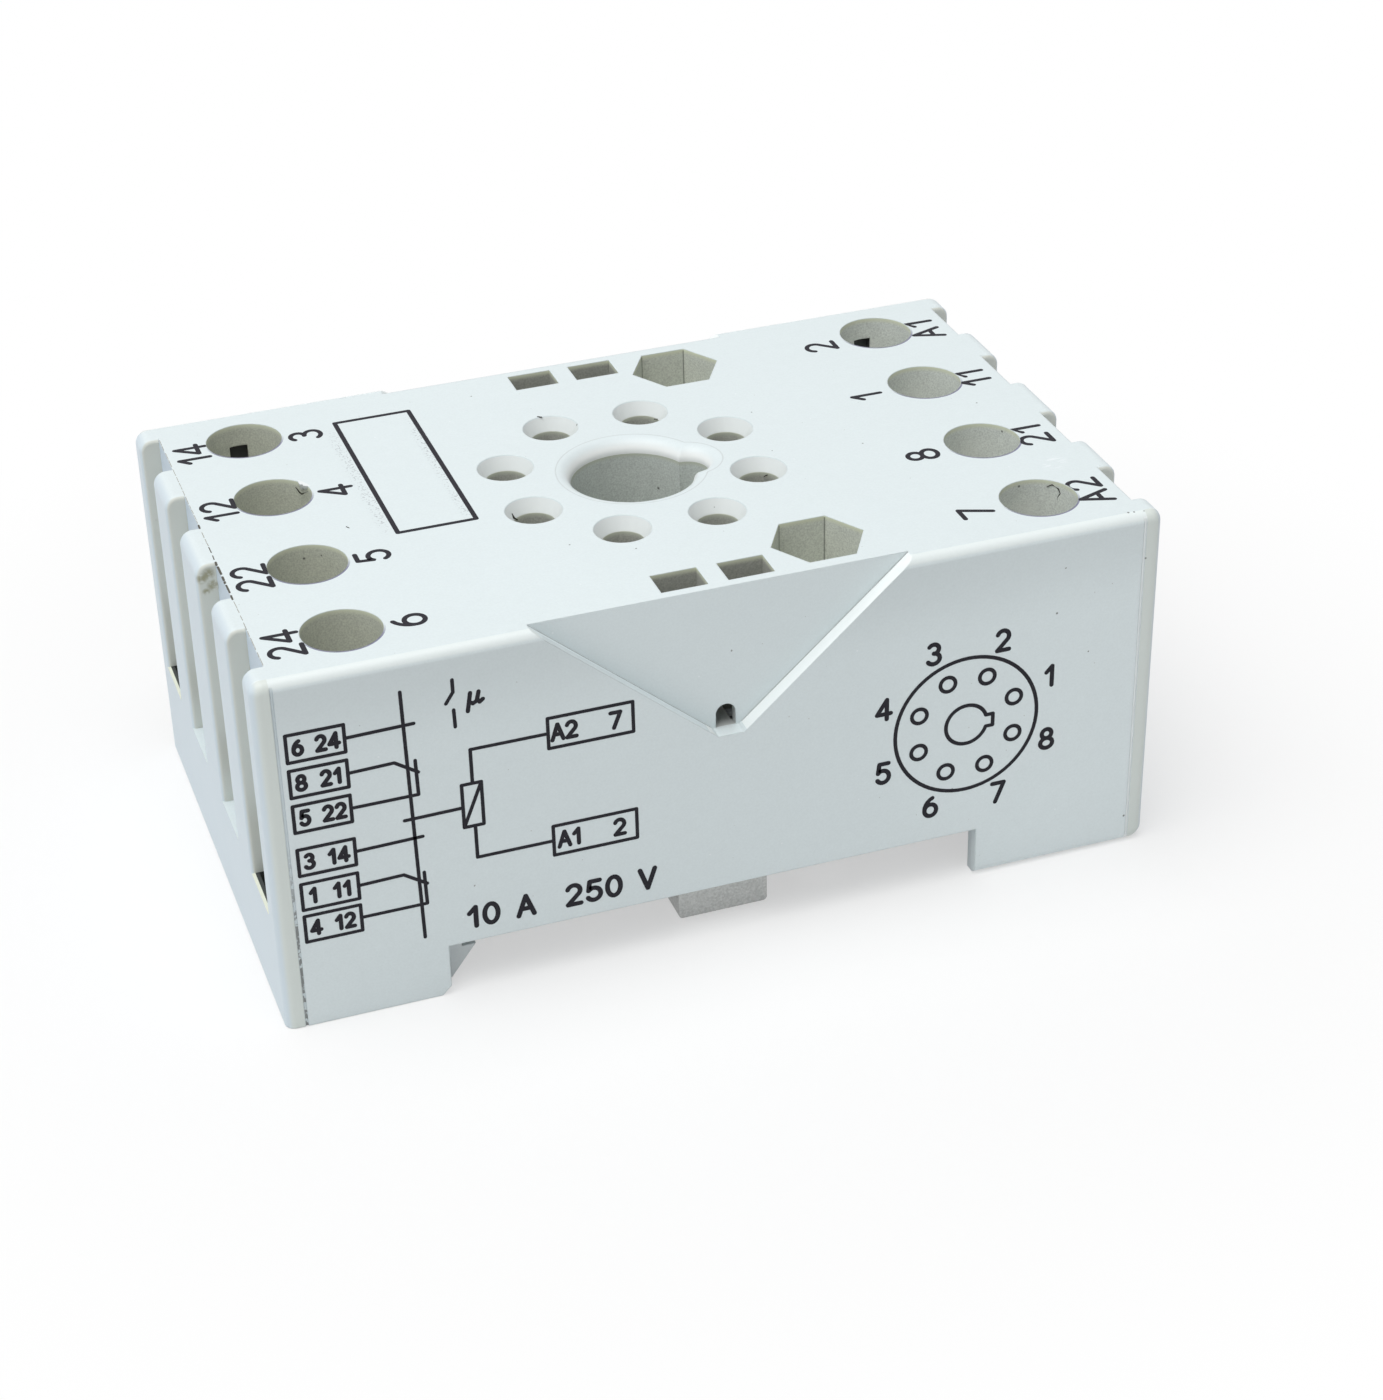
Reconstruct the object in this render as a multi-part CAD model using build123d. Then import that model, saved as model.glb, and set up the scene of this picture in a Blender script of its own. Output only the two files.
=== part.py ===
from build123d import *
import math
import os

# Outer body. The origin is at the middle of the underside, X along the length, Z up.
BODY_LENGTH = 62.0
BODY_WIDTH = 38.0
BODY_HEIGHT = 26.2
EDGE_ROUND = 0.7
NOSE_ROUND = 0.9
SIDE_WALL = 1.25
FOOT_END_WALL = 1.5
TOP_PLATE = 2.4

# Gap between the feet, which takes the mounting rail
RAIL_GAP = 37.8
RAIL_GAP_X = -0.9
FOOT_HEIGHT = 3.85
FOOT_CHAMFER = 0.65
FOOT_ROUND = 1.0

# Finned ends, with one slot in front of each terminal
FIN_DEPTH = 1.4
FIN_EDGE_ROUND = 0.3
FIN_SLOT_WIDTH = 4.8
FIN_SLOT_SILL = 7.8
END_WALL = 2.3

# Terminal layout
TERMINAL_INSET = 7.0
TERMINAL_INNER_SPAN = 10.1
TERMINAL_PITCH = 9.2
ACCESS_BORE_D = 5.3
RELIEF_WIDTH = 1.3
RELIEF_DEPTH = 0.6
RELIEF_TOP_GAP = 1.65
PARTITION = 1.2

# Pins and keyed centre hole of the plug
PIN_COUNT = 8
PIN_CIRCLE_D = 17.45
PIN_HOLE_D = 2.9
PIN_MOUTH_D = 3.95
PIN_MOUTH_DEPTH = 1.0
PIN_SLEEVE_D = 5.8
PIN_CHAMBER_D = 4.2
SPIGOT_D = 8.5
SPIGOT_FLARE = 1.0
SPIGOT_SLEEVE_WALL = 2.05
SPIGOT_SLEEVE_Z = 9.0
KEY_ROUND = 1.5
KEY_REACH = 5.5

# Wells and slots in the top face
WELL_X = 8.1
WELL_Y = 14.15
WELL_FLATS = 5.66
WELL_DEPTH = 6.0
PANEL_SCREW_D = 3.4
WELL_BOSS_WALL = 1.2
CLIP_SLOT_X = (-2.2, 2.375)
CLIP_SLOT_LENGTH = 3.18
CLIP_SLOT_WIDTH = 2.37
CLIP_SLOT_Y = 16.02
BAND_HALF_LENGTH = 14.3
BAND_WIDTH = 6.9
BAND_Z = 15.0

# Triangular recess on each long side, with a small arched window at its tip
RECESS_TOP_WIDTH = 26.0
RECESS_TIP_WIDTH = 1.8
RECESS_TIP_X = 0.17
RECESS_TIP_Z = 15.7
RECESS_DEPTH = 1.1
TIP_WINDOW_WIDTH = 1.38
TIP_WINDOW_HEIGHT = 1.7
TIP_WINDOW_DEPTH = 3.0

# Parting groove down each long side, near its ends
GROOVE_INSET = 1.35
GROOVE_WIDTH = 0.18
GROOVE_DEPTH = 0.09

# Contact strips and their two-leaf receptacles
STRIP_Z = 13.0
STRIP_SHEET = 0.8
STRIP_PAD_WIDTH = 3.6
STRIP_LINK_WIDTH = 2.8
STRIP_PIN_PAD_D = 4.0
STRIP_SIDE_GAP = 0.15
KNEE_BACK = 4.1
KNEE_Y = 9.6
LEAF_SHEET = 0.4
LEAF_INNER_R = 1.25
LEAF_THROAT_R = 1.1
LEAF_MOUTH_R = 1.5
LEAF_ARC = 140.0
LEAF_TOP_GAP = 0.6
LEAF_MOUTH_HEIGHT = 1.5
LEAF_THROAT_HEIGHT = 2.6

# Rising clamp cages
CAGE_SHEET = 0.9
CAGE_ROOF = 1.6
CAGE_LENGTH = 5.6
CAGE_SIDE_GAP = 0.25
CAGE_CORNER = 0.5
CAGE_ROOF_GAP = 0.4
WIRE_GAP = 3.2
CLAMPED_GAP = 0.25
CHAMBER_SIDE_GAP = 0.3
CHAMBER_END_GAP = 0.4
CHAMBER_TOP_GAP = 0.3

# Terminal screws
SCREW_D = 2.9
SCREW_TAP_GAP = 0.05
SCREW_HEAD_D = 5.6
SCREW_HEAD_HEIGHT = 1.9
SCREW_HEAD_GAP = 0.25
SCREW_TIP_CHAMFER = 0.4
SCREW_HEAD_CHAMFER = 0.3
DRIVE_SLOT_WIDTH = 0.8
DRIVE_SLOT_DEPTH = 1.0
DRIVE_CROSS_LENGTH = 3.4

# Wire windows and latch windows at the feet of the fin slots
WIRE_WINDOW_WIDTH = 4.2
WIRE_WINDOW_DROP = 0.15
WIRE_WINDOW_ROUND = 1.2
LATCH_WINDOW_WIDTH = 3.2
LATCH_WINDOW_HEIGHT = 1.3
LATCH_SILL_GAP = 0.1
LATCH_POCKET_DEPTH = 1.2
LATCH_POCKET_RIM = 0.5
LATCH_SHEET = 0.9
LATCH_BARB = 0.9
LATCH_GAP = 0.15

# Lower cover
COVER_FLOOR = 0.95
COVER_GAP = 0.1
COVER_CORNER = 0.8
COVER_RIB = 1.2
FOOT_RIB = 1.0
FOOT_RIB_LIFT = 0.3
FOOT_RIB_Y = 9.0
CAGE_STOP_LENGTH = 4.0
CAGE_STOP_WIDTH = 3.2
HOOK_WALL = 1.6
HOOK_REACH = 2.15
HOOK_SLOPE = 53.0
RAIL_WIDTH = 35.0
RAIL_SHEET = 1.0
RAIL_PLAY = 0.2

# Rail clip, folded from sheet steel
CLIP_SHEET = 0.8
CLIP_BEND = 0.8
CLIP_LIP_BEND = 0.5
CLIP_HEADROOM = 0.3
CLIP_SIDE_GAP = 0.25
CLIP_TRAVEL = 2.0
CLIP_STEM_WIDTH = 6.0
CLIP_ARM_WIDTH = 6.4
CLIP_TAB_Y = 17.15
CLIP_TAB_Z = 0.5
CLIP_FLANGE = 2.8
CLIP_TAB_CORNER = 0.6
CLIP_LIP_REACH = 1.3
CLIP_LIP_RISE = 1.2
CLIP_LIP_Z = 1.0

# Clip spring
SPRING_WIRE_D = 0.4
SPRING_D = 2.4
SPRING_LENGTH = 7.0
SPRING_COILS = 6
SPRING_START_X = 6.2
SPRING_GAP = 0.3
SPRING_POST = 1.2

# Values that follow from the sizes above
half_length = BODY_LENGTH / 2
half_width = BODY_WIDTH / 2
slot_floor_x = half_length - FIN_DEPTH
chamber_end_x = slot_floor_x - END_WALL
terminal_x = half_length - TERMINAL_INSET
inner_y = TERMINAL_INNER_SPAN / 2
outer_y = inner_y + TERMINAL_PITCH
inside_y = half_width - SIDE_WALL
ceiling_z = BODY_HEIGHT - TOP_PLATE
pin_radius = PIN_CIRCLE_D / 2
strip_top = STRIP_Z + STRIP_SHEET
cage_width = STRIP_PAD_WIDTH + 2 * (CAGE_SIDE_GAP + CAGE_SHEET)
chamber_width = cage_width + 2 * CHAMBER_SIDE_GAP
chamber_start_x = terminal_x - CAGE_LENGTH / 2 - CHAMBER_END_GAP
centre_half = chamber_start_x - PARTITION
knee_x = centre_half - KNEE_BACK
cage_floor_z = STRIP_Z - WIRE_GAP
cage_bottom_z = cage_floor_z - CAGE_SHEET
cage_roof_z = strip_top + CAGE_ROOF_GAP
cage_top_z = cage_roof_z + CAGE_ROOF
cage_travel = WIRE_GAP - CLAMPED_GAP
head_z = cage_top_z + cage_travel + SCREW_HEAD_GAP
head_top_z = head_z + SCREW_HEAD_HEIGHT
chamber_top_z = head_top_z + CHAMBER_TOP_GAP
clip_floor_z = FOOT_HEIGHT + COVER_FLOOR
clip_mid_z = clip_floor_z + CLIP_SHEET / 2
cover_top_z = clip_floor_z + CLIP_SHEET + CLIP_HEADROOM
gap_left_x = RAIL_GAP_X - RAIL_GAP / 2
gap_right_x = RAIL_GAP_X + RAIL_GAP / 2
rail_left_x = RAIL_GAP_X - RAIL_WIDTH / 2
rail_right_x = RAIL_GAP_X + RAIL_WIDTH / 2
grip_z = FOOT_HEIGHT - RAIL_SHEET - RAIL_PLAY
latch_x = chamber_end_x + LATCH_GAP
latch_window_z = FIN_SLOT_SILL + LATCH_SILL_GAP
band_start_y = inside_y - BAND_WIDTH + 0.1
TERMINAL_SIGNS = [(sx, sy) for sx in (-1, 1) for sy in (-1, 1)]
SPAN = 2 * BODY_LENGTH


def block(x0, x1, y0, y1, z0, z1):
    """A box between two corners, given as ranges in any order."""
    centre = ((x0 + x1) / 2, (y0 + y1) / 2, (z0 + z1) / 2)
    return Pos(*centre) * Box(abs(x1 - x0), abs(y1 - y0), abs(z1 - z0))


def rod(x, y, diameter, z0, z1):
    """An upright cylinder."""
    return Pos(x, y, (z0 + z1) / 2) * Cylinder(diameter / 2, z1 - z0)


def pin_place(number):
    """Plan position of a pin: they are numbered anticlockwise from the key."""
    angle = math.radians(360.0 / PIN_COUNT * (number - 0.5))
    return pin_radius * math.cos(angle), pin_radius * math.sin(angle)


def terminal_place(number):
    """Plan position of the terminal that a pin is wired to."""
    x, y = pin_place(number)
    reach = inner_y if abs(y) < abs(x) else outer_y
    return math.copysign(terminal_x, x), math.copysign(reach, y)


PINS = range(1, PIN_COUNT + 1)


def side_profile():
    """The body seen from the front, with the rail gap between its feet."""
    corners = [
        (-half_length, 0),
        (-half_length, BODY_HEIGHT),
        (half_length, BODY_HEIGHT),
        (half_length, 0),
        (gap_right_x, 0),
        (gap_right_x, FOOT_HEIGHT),
        (gap_left_x, FOOT_HEIGHT),
        (gap_left_x, 0),
    ]
    face = make_face(Polyline(*corners, close=True))
    noses = face.vertices().group_by(Axis.Y)[-1]
    face = fillet(noses, NOSE_ROUND)
    right_toe = face.vertices().filter_by_position(Axis.Y, -0.01, 0.01).sort_by(Axis.X)[-1]
    face = fillet(right_toe, FOOT_ROUND)
    left_toe = face.vertices().filter_by_position(Axis.Y, -0.01, 0.01).sort_by(Axis.X)[1]
    return chamfer(left_toe, FOOT_CHAMFER)


def outer_body():
    """The outer form: long sides rounded over their top and end edges."""
    body = extrude(Plane.XZ * side_profile(), half_width, both=True)
    rims = body.edges().filter_by(lambda e: abs(abs(e.center().Y) - half_width) < 0.01)
    upper = rims.filter_by(lambda e: e.center().Z > BODY_HEIGHT / 3)
    return fillet(upper, EDGE_ROUND)


def fin_slots(body):
    """Open a slot in front of every terminal and soften the fins between."""
    for sx in (-1, 1):
        for y in (-outer_y, -inner_y, inner_y, outer_y):
            body -= block(
                sx * slot_floor_x, sx * (half_length + 1),
                y - FIN_SLOT_WIDTH / 2, y + FIN_SLOT_WIDTH / 2,
                FIN_SLOT_SILL, BODY_HEIGHT + 1,
            )
    edges = body.edges().filter_by(Axis.Z)
    edges = edges.filter_by(lambda e: abs(abs(e.center().X) - half_length) < 0.01)
    edges = edges.filter_by(lambda e: abs(e.center().Y) < half_width - EDGE_ROUND - FIN_EDGE_ROUND)
    return fillet(edges, FIN_EDGE_ROUND)


def recess_cutter(sy):
    """The triangular recess of one long side, its window and its two grooves."""
    rise = BODY_HEIGHT - RECESS_TIP_Z
    over = 1.0
    left_tip = RECESS_TIP_X - RECESS_TIP_WIDTH / 2
    right_tip = RECESS_TIP_X + RECESS_TIP_WIDTH / 2
    left_top = left_tip + (-RECESS_TOP_WIDTH / 2 - left_tip) * (rise + over) / rise
    right_top = right_tip + (RECESS_TOP_WIDTH / 2 - right_tip) * (rise + over) / rise
    corners = [
        (left_tip, RECESS_TIP_Z),
        (right_tip, RECESS_TIP_Z),
        (right_top, BODY_HEIGHT + over),
        (left_top, BODY_HEIGHT + over),
    ]
    outline = make_face(Polyline(*corners, close=True))
    floor_y = half_width - RECESS_DEPTH
    cutter = extrude(Plane.XZ.offset(-sy * floor_y) * outline, -sy * (RECESS_DEPTH + 1))
    arch_r = TIP_WINDOW_WIDTH / 2
    arch_z = RECESS_TIP_Z + TIP_WINDOW_HEIGHT - arch_r
    cutter += block(
        RECESS_TIP_X - arch_r, RECESS_TIP_X + arch_r,
        sy * (floor_y - TIP_WINDOW_DEPTH), sy * half_width,
        RECESS_TIP_Z, arch_z,
    )
    arch = Pos(RECESS_TIP_X, sy * (half_width - TIP_WINDOW_DEPTH / 2 - RECESS_DEPTH / 2), arch_z)
    cutter += arch * Rot(90, 0, 0) * Cylinder(arch_r, TIP_WINDOW_DEPTH + RECESS_DEPTH)
    for sx in (-1, 1):
        edge_x = sx * (half_length - GROOVE_INSET)
        notch = Pos(edge_x, sy * half_width, BODY_HEIGHT / 2)
        cutter += notch * Box(GROOVE_WIDTH, 2 * GROOVE_DEPTH, SPAN)
    return cutter


def hexagon_well(sy):
    """A nut well that opens in the top face, over its screw hole."""
    across_corners = WELL_FLATS / math.cos(math.radians(30))
    outline = Pos(WELL_X, sy * WELL_Y) * RegularPolygon(across_corners / 2, 6)
    well = extrude(Plane.XY.offset(BODY_HEIGHT - WELL_DEPTH) * outline, WELL_DEPTH + 1)
    return well + rod(WELL_X, sy * WELL_Y, PANEL_SCREW_D, -1, BODY_HEIGHT)


def pin_cutter(x, y):
    """A pin hole: flared mouth, guide hole, then the receptacle's chamber."""
    mouth = Cone(PIN_HOLE_D / 2, PIN_MOUTH_D / 2, PIN_MOUTH_DEPTH)
    cutter = Pos(x, y, BODY_HEIGHT - PIN_MOUTH_DEPTH / 2) * mouth
    cutter += rod(x, y, PIN_HOLE_D, ceiling_z - 0.5, BODY_HEIGHT)
    return cutter + rod(x, y, PIN_CHAMBER_D, strip_top - 1, ceiling_z)


def spigot_outline():
    """Plan of the centre hole with its rounded keyway towards +X."""
    return Circle(SPIGOT_D / 2) + Pos(KEY_REACH - KEY_ROUND, 0) * Circle(KEY_ROUND)


def wire_window(sx, y):
    """The window in a slot's floor through which the wire reaches its cage."""
    low = cage_floor_z - WIRE_WINDOW_DROP
    high = STRIP_Z + WIRE_WINDOW_DROP
    outline = RectangleRounded(WIRE_WINDOW_WIDTH, high - low, WIRE_WINDOW_ROUND)
    plane = Plane((sx * (chamber_end_x - 1), y, (low + high) / 2), x_dir=(0, 1, 0), z_dir=(sx, 0, 0))
    return extrude(plane * outline, END_WALL + 2)


def latch_cutter(sx, sy):
    """The groove of a latch tongue, the window for its barb and the pocket in the sill below."""
    y = sy * outer_y
    top = latch_window_z + LATCH_WINDOW_HEIGHT
    half = LATCH_WINDOW_WIDTH / 2
    groove_x = latch_x + LATCH_SHEET + LATCH_GAP
    groove = block(sx * (chamber_end_x - 0.1), sx * groove_x, y - half, y + half, cover_top_z - 1, top)
    window = block(sx * groove_x, sx * (slot_floor_x + 0.1), y - half, y + half, latch_window_z, top)
    pocket = block(
        sx * slot_floor_x, sx * (half_length - LATCH_POCKET_RIM),
        y - FIN_SLOT_WIDTH / 2, y + FIN_SLOT_WIDTH / 2,
        FIN_SLOT_SILL - LATCH_POCKET_DEPTH, FIN_SLOT_SILL + 0.1,
    )
    return groove + window + pocket


def terminal_cutter(x, y):
    """Chamber of one terminal, its access bore and the strip's way in."""
    sx = math.copysign(1, x)
    half = chamber_width / 2
    cutter = block(sx * chamber_start_x, sx * chamber_end_x, y - half, y + half, 0, chamber_top_z)
    cutter += rod(x, y, ACCESS_BORE_D, chamber_top_z - 0.5, BODY_HEIGHT + 1)
    way = STRIP_PAD_WIDTH / 2 + STRIP_SIDE_GAP
    cutter += block(sx * (centre_half - 1), sx * (chamber_start_x + 1), y - way, y + way, 0, strip_top)
    return cutter + wire_window(sx, y)


def relief_cutter(x, y):
    """The narrow relief slot in the outer wall of a corner access bore."""
    sy = math.copysign(1, y)
    wall_y = y + sy * ACCESS_BORE_D / 2
    return block(
        x - RELIEF_WIDTH / 2, x + RELIEF_WIDTH / 2,
        wall_y - sy * 0.5, wall_y + sy * RELIEF_DEPTH,
        chamber_top_z - 0.5, BODY_HEIGHT - RELIEF_TOP_GAP,
    )


def housing():
    """The moulded upper body, open below."""
    body = fin_slots(outer_body())
    body -= block(
        -half_length + FOOT_END_WALL, half_length - FOOT_END_WALL,
        -inside_y, inside_y, -1, cover_top_z,
    )
    body -= block(-centre_half, centre_half, -inside_y, inside_y, 0, ceiling_z)
    for sy in (-1, 1):
        body += block(
            -BAND_HALF_LENGTH, BAND_HALF_LENGTH,
            sy * band_start_y, sy * (inside_y + 0.1), BAND_Z, ceiling_z,
        )
        boss_d = PANEL_SCREW_D + 2 * WELL_BOSS_WALL
        body += rod(WELL_X, sy * WELL_Y, boss_d, cover_top_z, BAND_Z)
    body += rod(0, 0, SPIGOT_D + 2 * SPIGOT_SLEEVE_WALL, SPIGOT_SLEEVE_Z, ceiling_z)
    for number in PINS:
        x, y = pin_place(number)
        body += rod(x, y, PIN_SLEEVE_D, strip_top, ceiling_z)
    body -= extrude(Plane.XY * spigot_outline(), BODY_HEIGHT + 1)
    rim = body.edges().filter_by(lambda e: abs(e.center().Z - BODY_HEIGHT) < 0.01)
    rim = rim.filter_by(lambda e: math.hypot(e.center().X, e.center().Y) < KEY_REACH + 0.1)
    body = fillet(rim, SPIGOT_FLARE)
    for number in PINS:
        body -= pin_cutter(*pin_place(number))
        x, y = terminal_place(number)
        body -= terminal_cutter(x, y)
        if abs(y) > inner_y:
            body -= relief_cutter(x, y)
            body -= latch_cutter(math.copysign(1, x), math.copysign(1, y))
    for sy in (-1, 1):
        body -= recess_cutter(sy)
        body -= hexagon_well(sy)
        for x in CLIP_SLOT_X:
            slot = Pos(x, sy * CLIP_SLOT_Y, BODY_HEIGHT / 2) * Box(CLIP_SLOT_LENGTH, CLIP_SLOT_WIDTH, SPAN)
            body -= slot & block(-half_length, half_length, -half_width, half_width, 1, SPAN)
    return body


def sheet_path(points, bend):
    """A sheet seen on edge: a bent centre line given the clip's thickness."""
    return trace(FilletPolyline(*points, radius=bend), CLIP_SHEET)


def rail_clip():
    """The folded slide: stem with its hook, and a cross arm with two tabs."""
    leg_x = rail_right_x + RAIL_PLAY + CLIP_SHEET / 2
    stem_line = [(-CLIP_ARM_WIDTH / 2, clip_mid_z), (leg_x, clip_mid_z), (leg_x, CLIP_LIP_Z)]
    stem = sheet_path(stem_line, CLIP_BEND)
    lip_line = [
        (leg_x, CLIP_LIP_Z + 1.5),
        (leg_x, CLIP_LIP_Z),
        (leg_x - CLIP_LIP_REACH, CLIP_LIP_Z + CLIP_LIP_RISE),
    ]
    lip = sheet_path(lip_line, CLIP_LIP_BEND)
    trimmed = stem - Pos(leg_x, CLIP_LIP_Z) * Rectangle(2 * CLIP_SHEET, 2)
    clip = extrude(Plane.XZ * (trimmed + lip), CLIP_STEM_WIDTH / 2, both=True)
    tab_y = CLIP_TAB_Y - CLIP_SHEET / 2
    arm_line = [(-tab_y, CLIP_TAB_Z), (-tab_y, clip_mid_z), (tab_y, clip_mid_z), (tab_y, CLIP_TAB_Z)]
    clip += extrude(Plane.YZ * sheet_path(arm_line, CLIP_BEND), CLIP_ARM_WIDTH / 2, both=True)
    for sx in (-1, 1):
        for sy in (-1, 1):
            flange = block(
                sx * (CLIP_ARM_WIDTH / 2 - CLIP_SHEET), sx * CLIP_ARM_WIDTH / 2,
                sy * (CLIP_TAB_Y - CLIP_SHEET / 2), sy * (CLIP_TAB_Y - CLIP_FLANGE),
                CLIP_TAB_Z, clip_mid_z,
            )
            toe = flange.edges().filter_by(Axis.X).group_by(Axis.Z)[0].sort_by(Axis.Y)
            clip += chamfer(toe[-1] if sy < 0 else toe[0], CLIP_TAB_CORNER)
    window_end = SPRING_START_X + SPRING_LENGTH + SPRING_POST + CLIP_SIDE_GAP
    clip -= block(
        SPRING_START_X, window_end,
        -SPRING_D / 2 - SPRING_GAP, SPRING_D / 2 + SPRING_GAP,
        clip_floor_z - 1, clip_floor_z + 2,
    )
    corners = clip.edges().filter_by(Axis.Y).group_by(Axis.Z)[0]
    corners = corners.filter_by(lambda e: abs(e.center().X) < CLIP_ARM_WIDTH)
    return fillet(corners, CLIP_TAB_CORNER / 2)


def rail_spring():
    """The compression spring, lying along X between the clip and its post."""
    mean_r = (SPRING_D - SPRING_WIRE_D) / 2
    run = SPRING_LENGTH - SPRING_WIRE_D
    coil = Helix(run / SPRING_COILS, run, mean_r)
    start = Plane(coil @ 0, z_dir=coil % 0)
    wire = sweep(start * RegularPolygon(SPRING_WIRE_D / 2, 6), coil, is_frenet=True)
    return Pos(SPRING_START_X + SPRING_WIRE_D / 2, 0, clip_mid_z) * Rot(0, 90, 0) * wire


def hook_profile():
    """Section of the fixed hook that takes the left edge of the rail."""
    wall_x = rail_left_x - RAIL_PLAY
    tip_x = gap_left_x + HOOK_REACH
    foot_z = FOOT_RIB_LIFT
    toe_x = tip_x - (grip_z - foot_z) / math.tan(math.radians(HOOK_SLOPE))
    corners = [
        (wall_x - HOOK_WALL, FOOT_HEIGHT + 0.1),
        (wall_x - HOOK_WALL, foot_z),
        (toe_x, foot_z),
        (tip_x, grip_z),
        (wall_x, grip_z),
        (wall_x, FOOT_HEIGHT + 0.1),
    ]
    return make_face(Polyline(*corners, close=True))


def latch_tongue(sx, sy):
    """A tongue that rises in its groove and snaps its barb into the window."""
    thin = LATCH_SHEET
    top = latch_window_z + LATCH_WINDOW_HEIGHT - LATCH_GAP
    barb_z = latch_window_z + LATCH_GAP
    corners = [
        (latch_x, cover_top_z - 0.1),
        (latch_x, top),
        (latch_x + thin, top),
        (latch_x + thin + LATCH_BARB, barb_z),
        (latch_x + thin, barb_z),
        (latch_x + thin, cover_top_z - 0.1),
    ]
    outline = make_face(Polyline(*[(sx * x, z) for x, z in corners], close=True))
    width = LATCH_WINDOW_WIDTH / 2 - LATCH_GAP
    return Pos(0, sy * outer_y, 0) * extrude(Plane.XZ * outline, width, both=True)


def strip_rib(number):
    """The rib that holds a contact strip up against the housing."""
    tx, ty = terminal_place(number)
    px, py = pin_place(number)
    sx = math.copysign(1, tx)
    sy = math.copysign(1, ty)
    if abs(ty) > inner_y:
        start = (sx * (CLIP_ARM_WIDTH / 2 + CLIP_TRAVEL + 2), 0)
        line = ((px, py), (sx * knee_x, sy * KNEE_Y))
        slope = (line[1][1] - line[0][1]) / (line[1][0] - line[0][0])
        start = (start[0], py + slope * (start[0] - px))
        end = line[1]
    else:
        start = (px, py)
        slope = (ty - py) / (sx * centre_half - px)
        reach = sx * (centre_half - 1)
        end = (reach, py + slope * (reach - px))
    length = math.dist(start, end)
    angle = math.degrees(math.atan2(end[1] - start[1], end[0] - start[0]))
    middle = ((start[0] + end[0]) / 2, (start[1] + end[1]) / 2)
    rise = STRIP_Z - cover_top_z
    return Pos(*middle, cover_top_z + rise / 2) * Rot(0, 0, angle) * Box(length, COVER_RIB, rise)


def base_plate():
    """The moulded lower cover with everything that stands on it."""
    end_x = half_length - FOOT_END_WALL - COVER_GAP
    side_y = inside_y - COVER_GAP
    cover = block(-end_x, end_x, -side_y, side_y, FOOT_HEIGHT, cover_top_z)
    cover = chamfer(cover.edges().filter_by(Axis.Z), COVER_CORNER)
    cover += extrude(Plane.XZ * hook_profile(), side_y, both=True)
    hook_back_x = rail_left_x - RAIL_PLAY - HOOK_WALL
    for y in (-FOOT_RIB_Y, 0, FOOT_RIB_Y):
        cover += block(
            -end_x, hook_back_x + 0.1, y - FOOT_RIB / 2, y + FOOT_RIB / 2,
            FOOT_RIB_LIFT, FOOT_HEIGHT + 0.1,
        )
        cover += block(
            gap_right_x + CLIP_TRAVEL + 1, end_x, y - FOOT_RIB / 2, y + FOOT_RIB / 2,
            FOOT_RIB_LIFT, FOOT_HEIGHT + 0.1,
        )
    for number in PINS:
        cover += strip_rib(number)
        x, y = terminal_place(number)
        stop_rise = cage_bottom_z - cover_top_z
        stop = Pos(x, y, cover_top_z + stop_rise / 2)
        cover += stop * Box(CAGE_STOP_LENGTH, CAGE_STOP_WIDTH, stop_rise)
    for sx, sy in TERMINAL_SIGNS:
        cover += latch_tongue(sx, sy)
    stem_y = CLIP_STEM_WIDTH / 2 + CLIP_SIDE_GAP
    arm_x = CLIP_ARM_WIDTH / 2 + CLIP_SIDE_GAP
    leg_x = rail_right_x + RAIL_PLAY + CLIP_SHEET
    over = cover_top_z + 0.01
    cover -= block(-arm_x, leg_x + CLIP_TRAVEL + CLIP_SIDE_GAP, -stem_y, stem_y, clip_floor_z, over)
    cover -= block(-arm_x, arm_x + CLIP_TRAVEL, -side_y - 1, side_y + 1, clip_floor_z, over)
    lip_x = leg_x - CLIP_SHEET / 2 - CLIP_LIP_REACH - CLIP_SHEET
    cover -= block(lip_x, leg_x + CLIP_TRAVEL + CLIP_SIDE_GAP, -stem_y, stem_y, 0, over)
    for sy in (-1, 1):
        cover -= block(
            -arm_x, arm_x + CLIP_TRAVEL,
            sy * (CLIP_TAB_Y - CLIP_FLANGE - CLIP_SIDE_GAP), sy * (side_y + 1), 0, over,
        )
        cover -= rod(WELL_X, sy * WELL_Y, PANEL_SCREW_D, 0, BAND_Z)
    spring_y = SPRING_D / 2 + SPRING_GAP
    post_x = SPRING_START_X + SPRING_LENGTH
    cover -= block(SPRING_START_X, post_x, -spring_y, spring_y, 0, over)
    cover += block(
        post_x, post_x + SPRING_POST, -SPRING_D / 2, SPRING_D / 2,
        clip_floor_z - 0.1, cover_top_z,
    )
    return cover


def strip_link(start, end):
    """A straight run of strip with round ends."""
    dx = end[0] - start[0]
    dy = end[1] - start[1]
    middle = Pos((start[0] + end[0]) / 2, (start[1] + end[1]) / 2)
    angle = Rot(0, 0, math.degrees(math.atan2(dy, dx)))
    return middle * angle * SlotCenterToCenter(math.hypot(dx, dy), STRIP_LINK_WIDTH)


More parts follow.
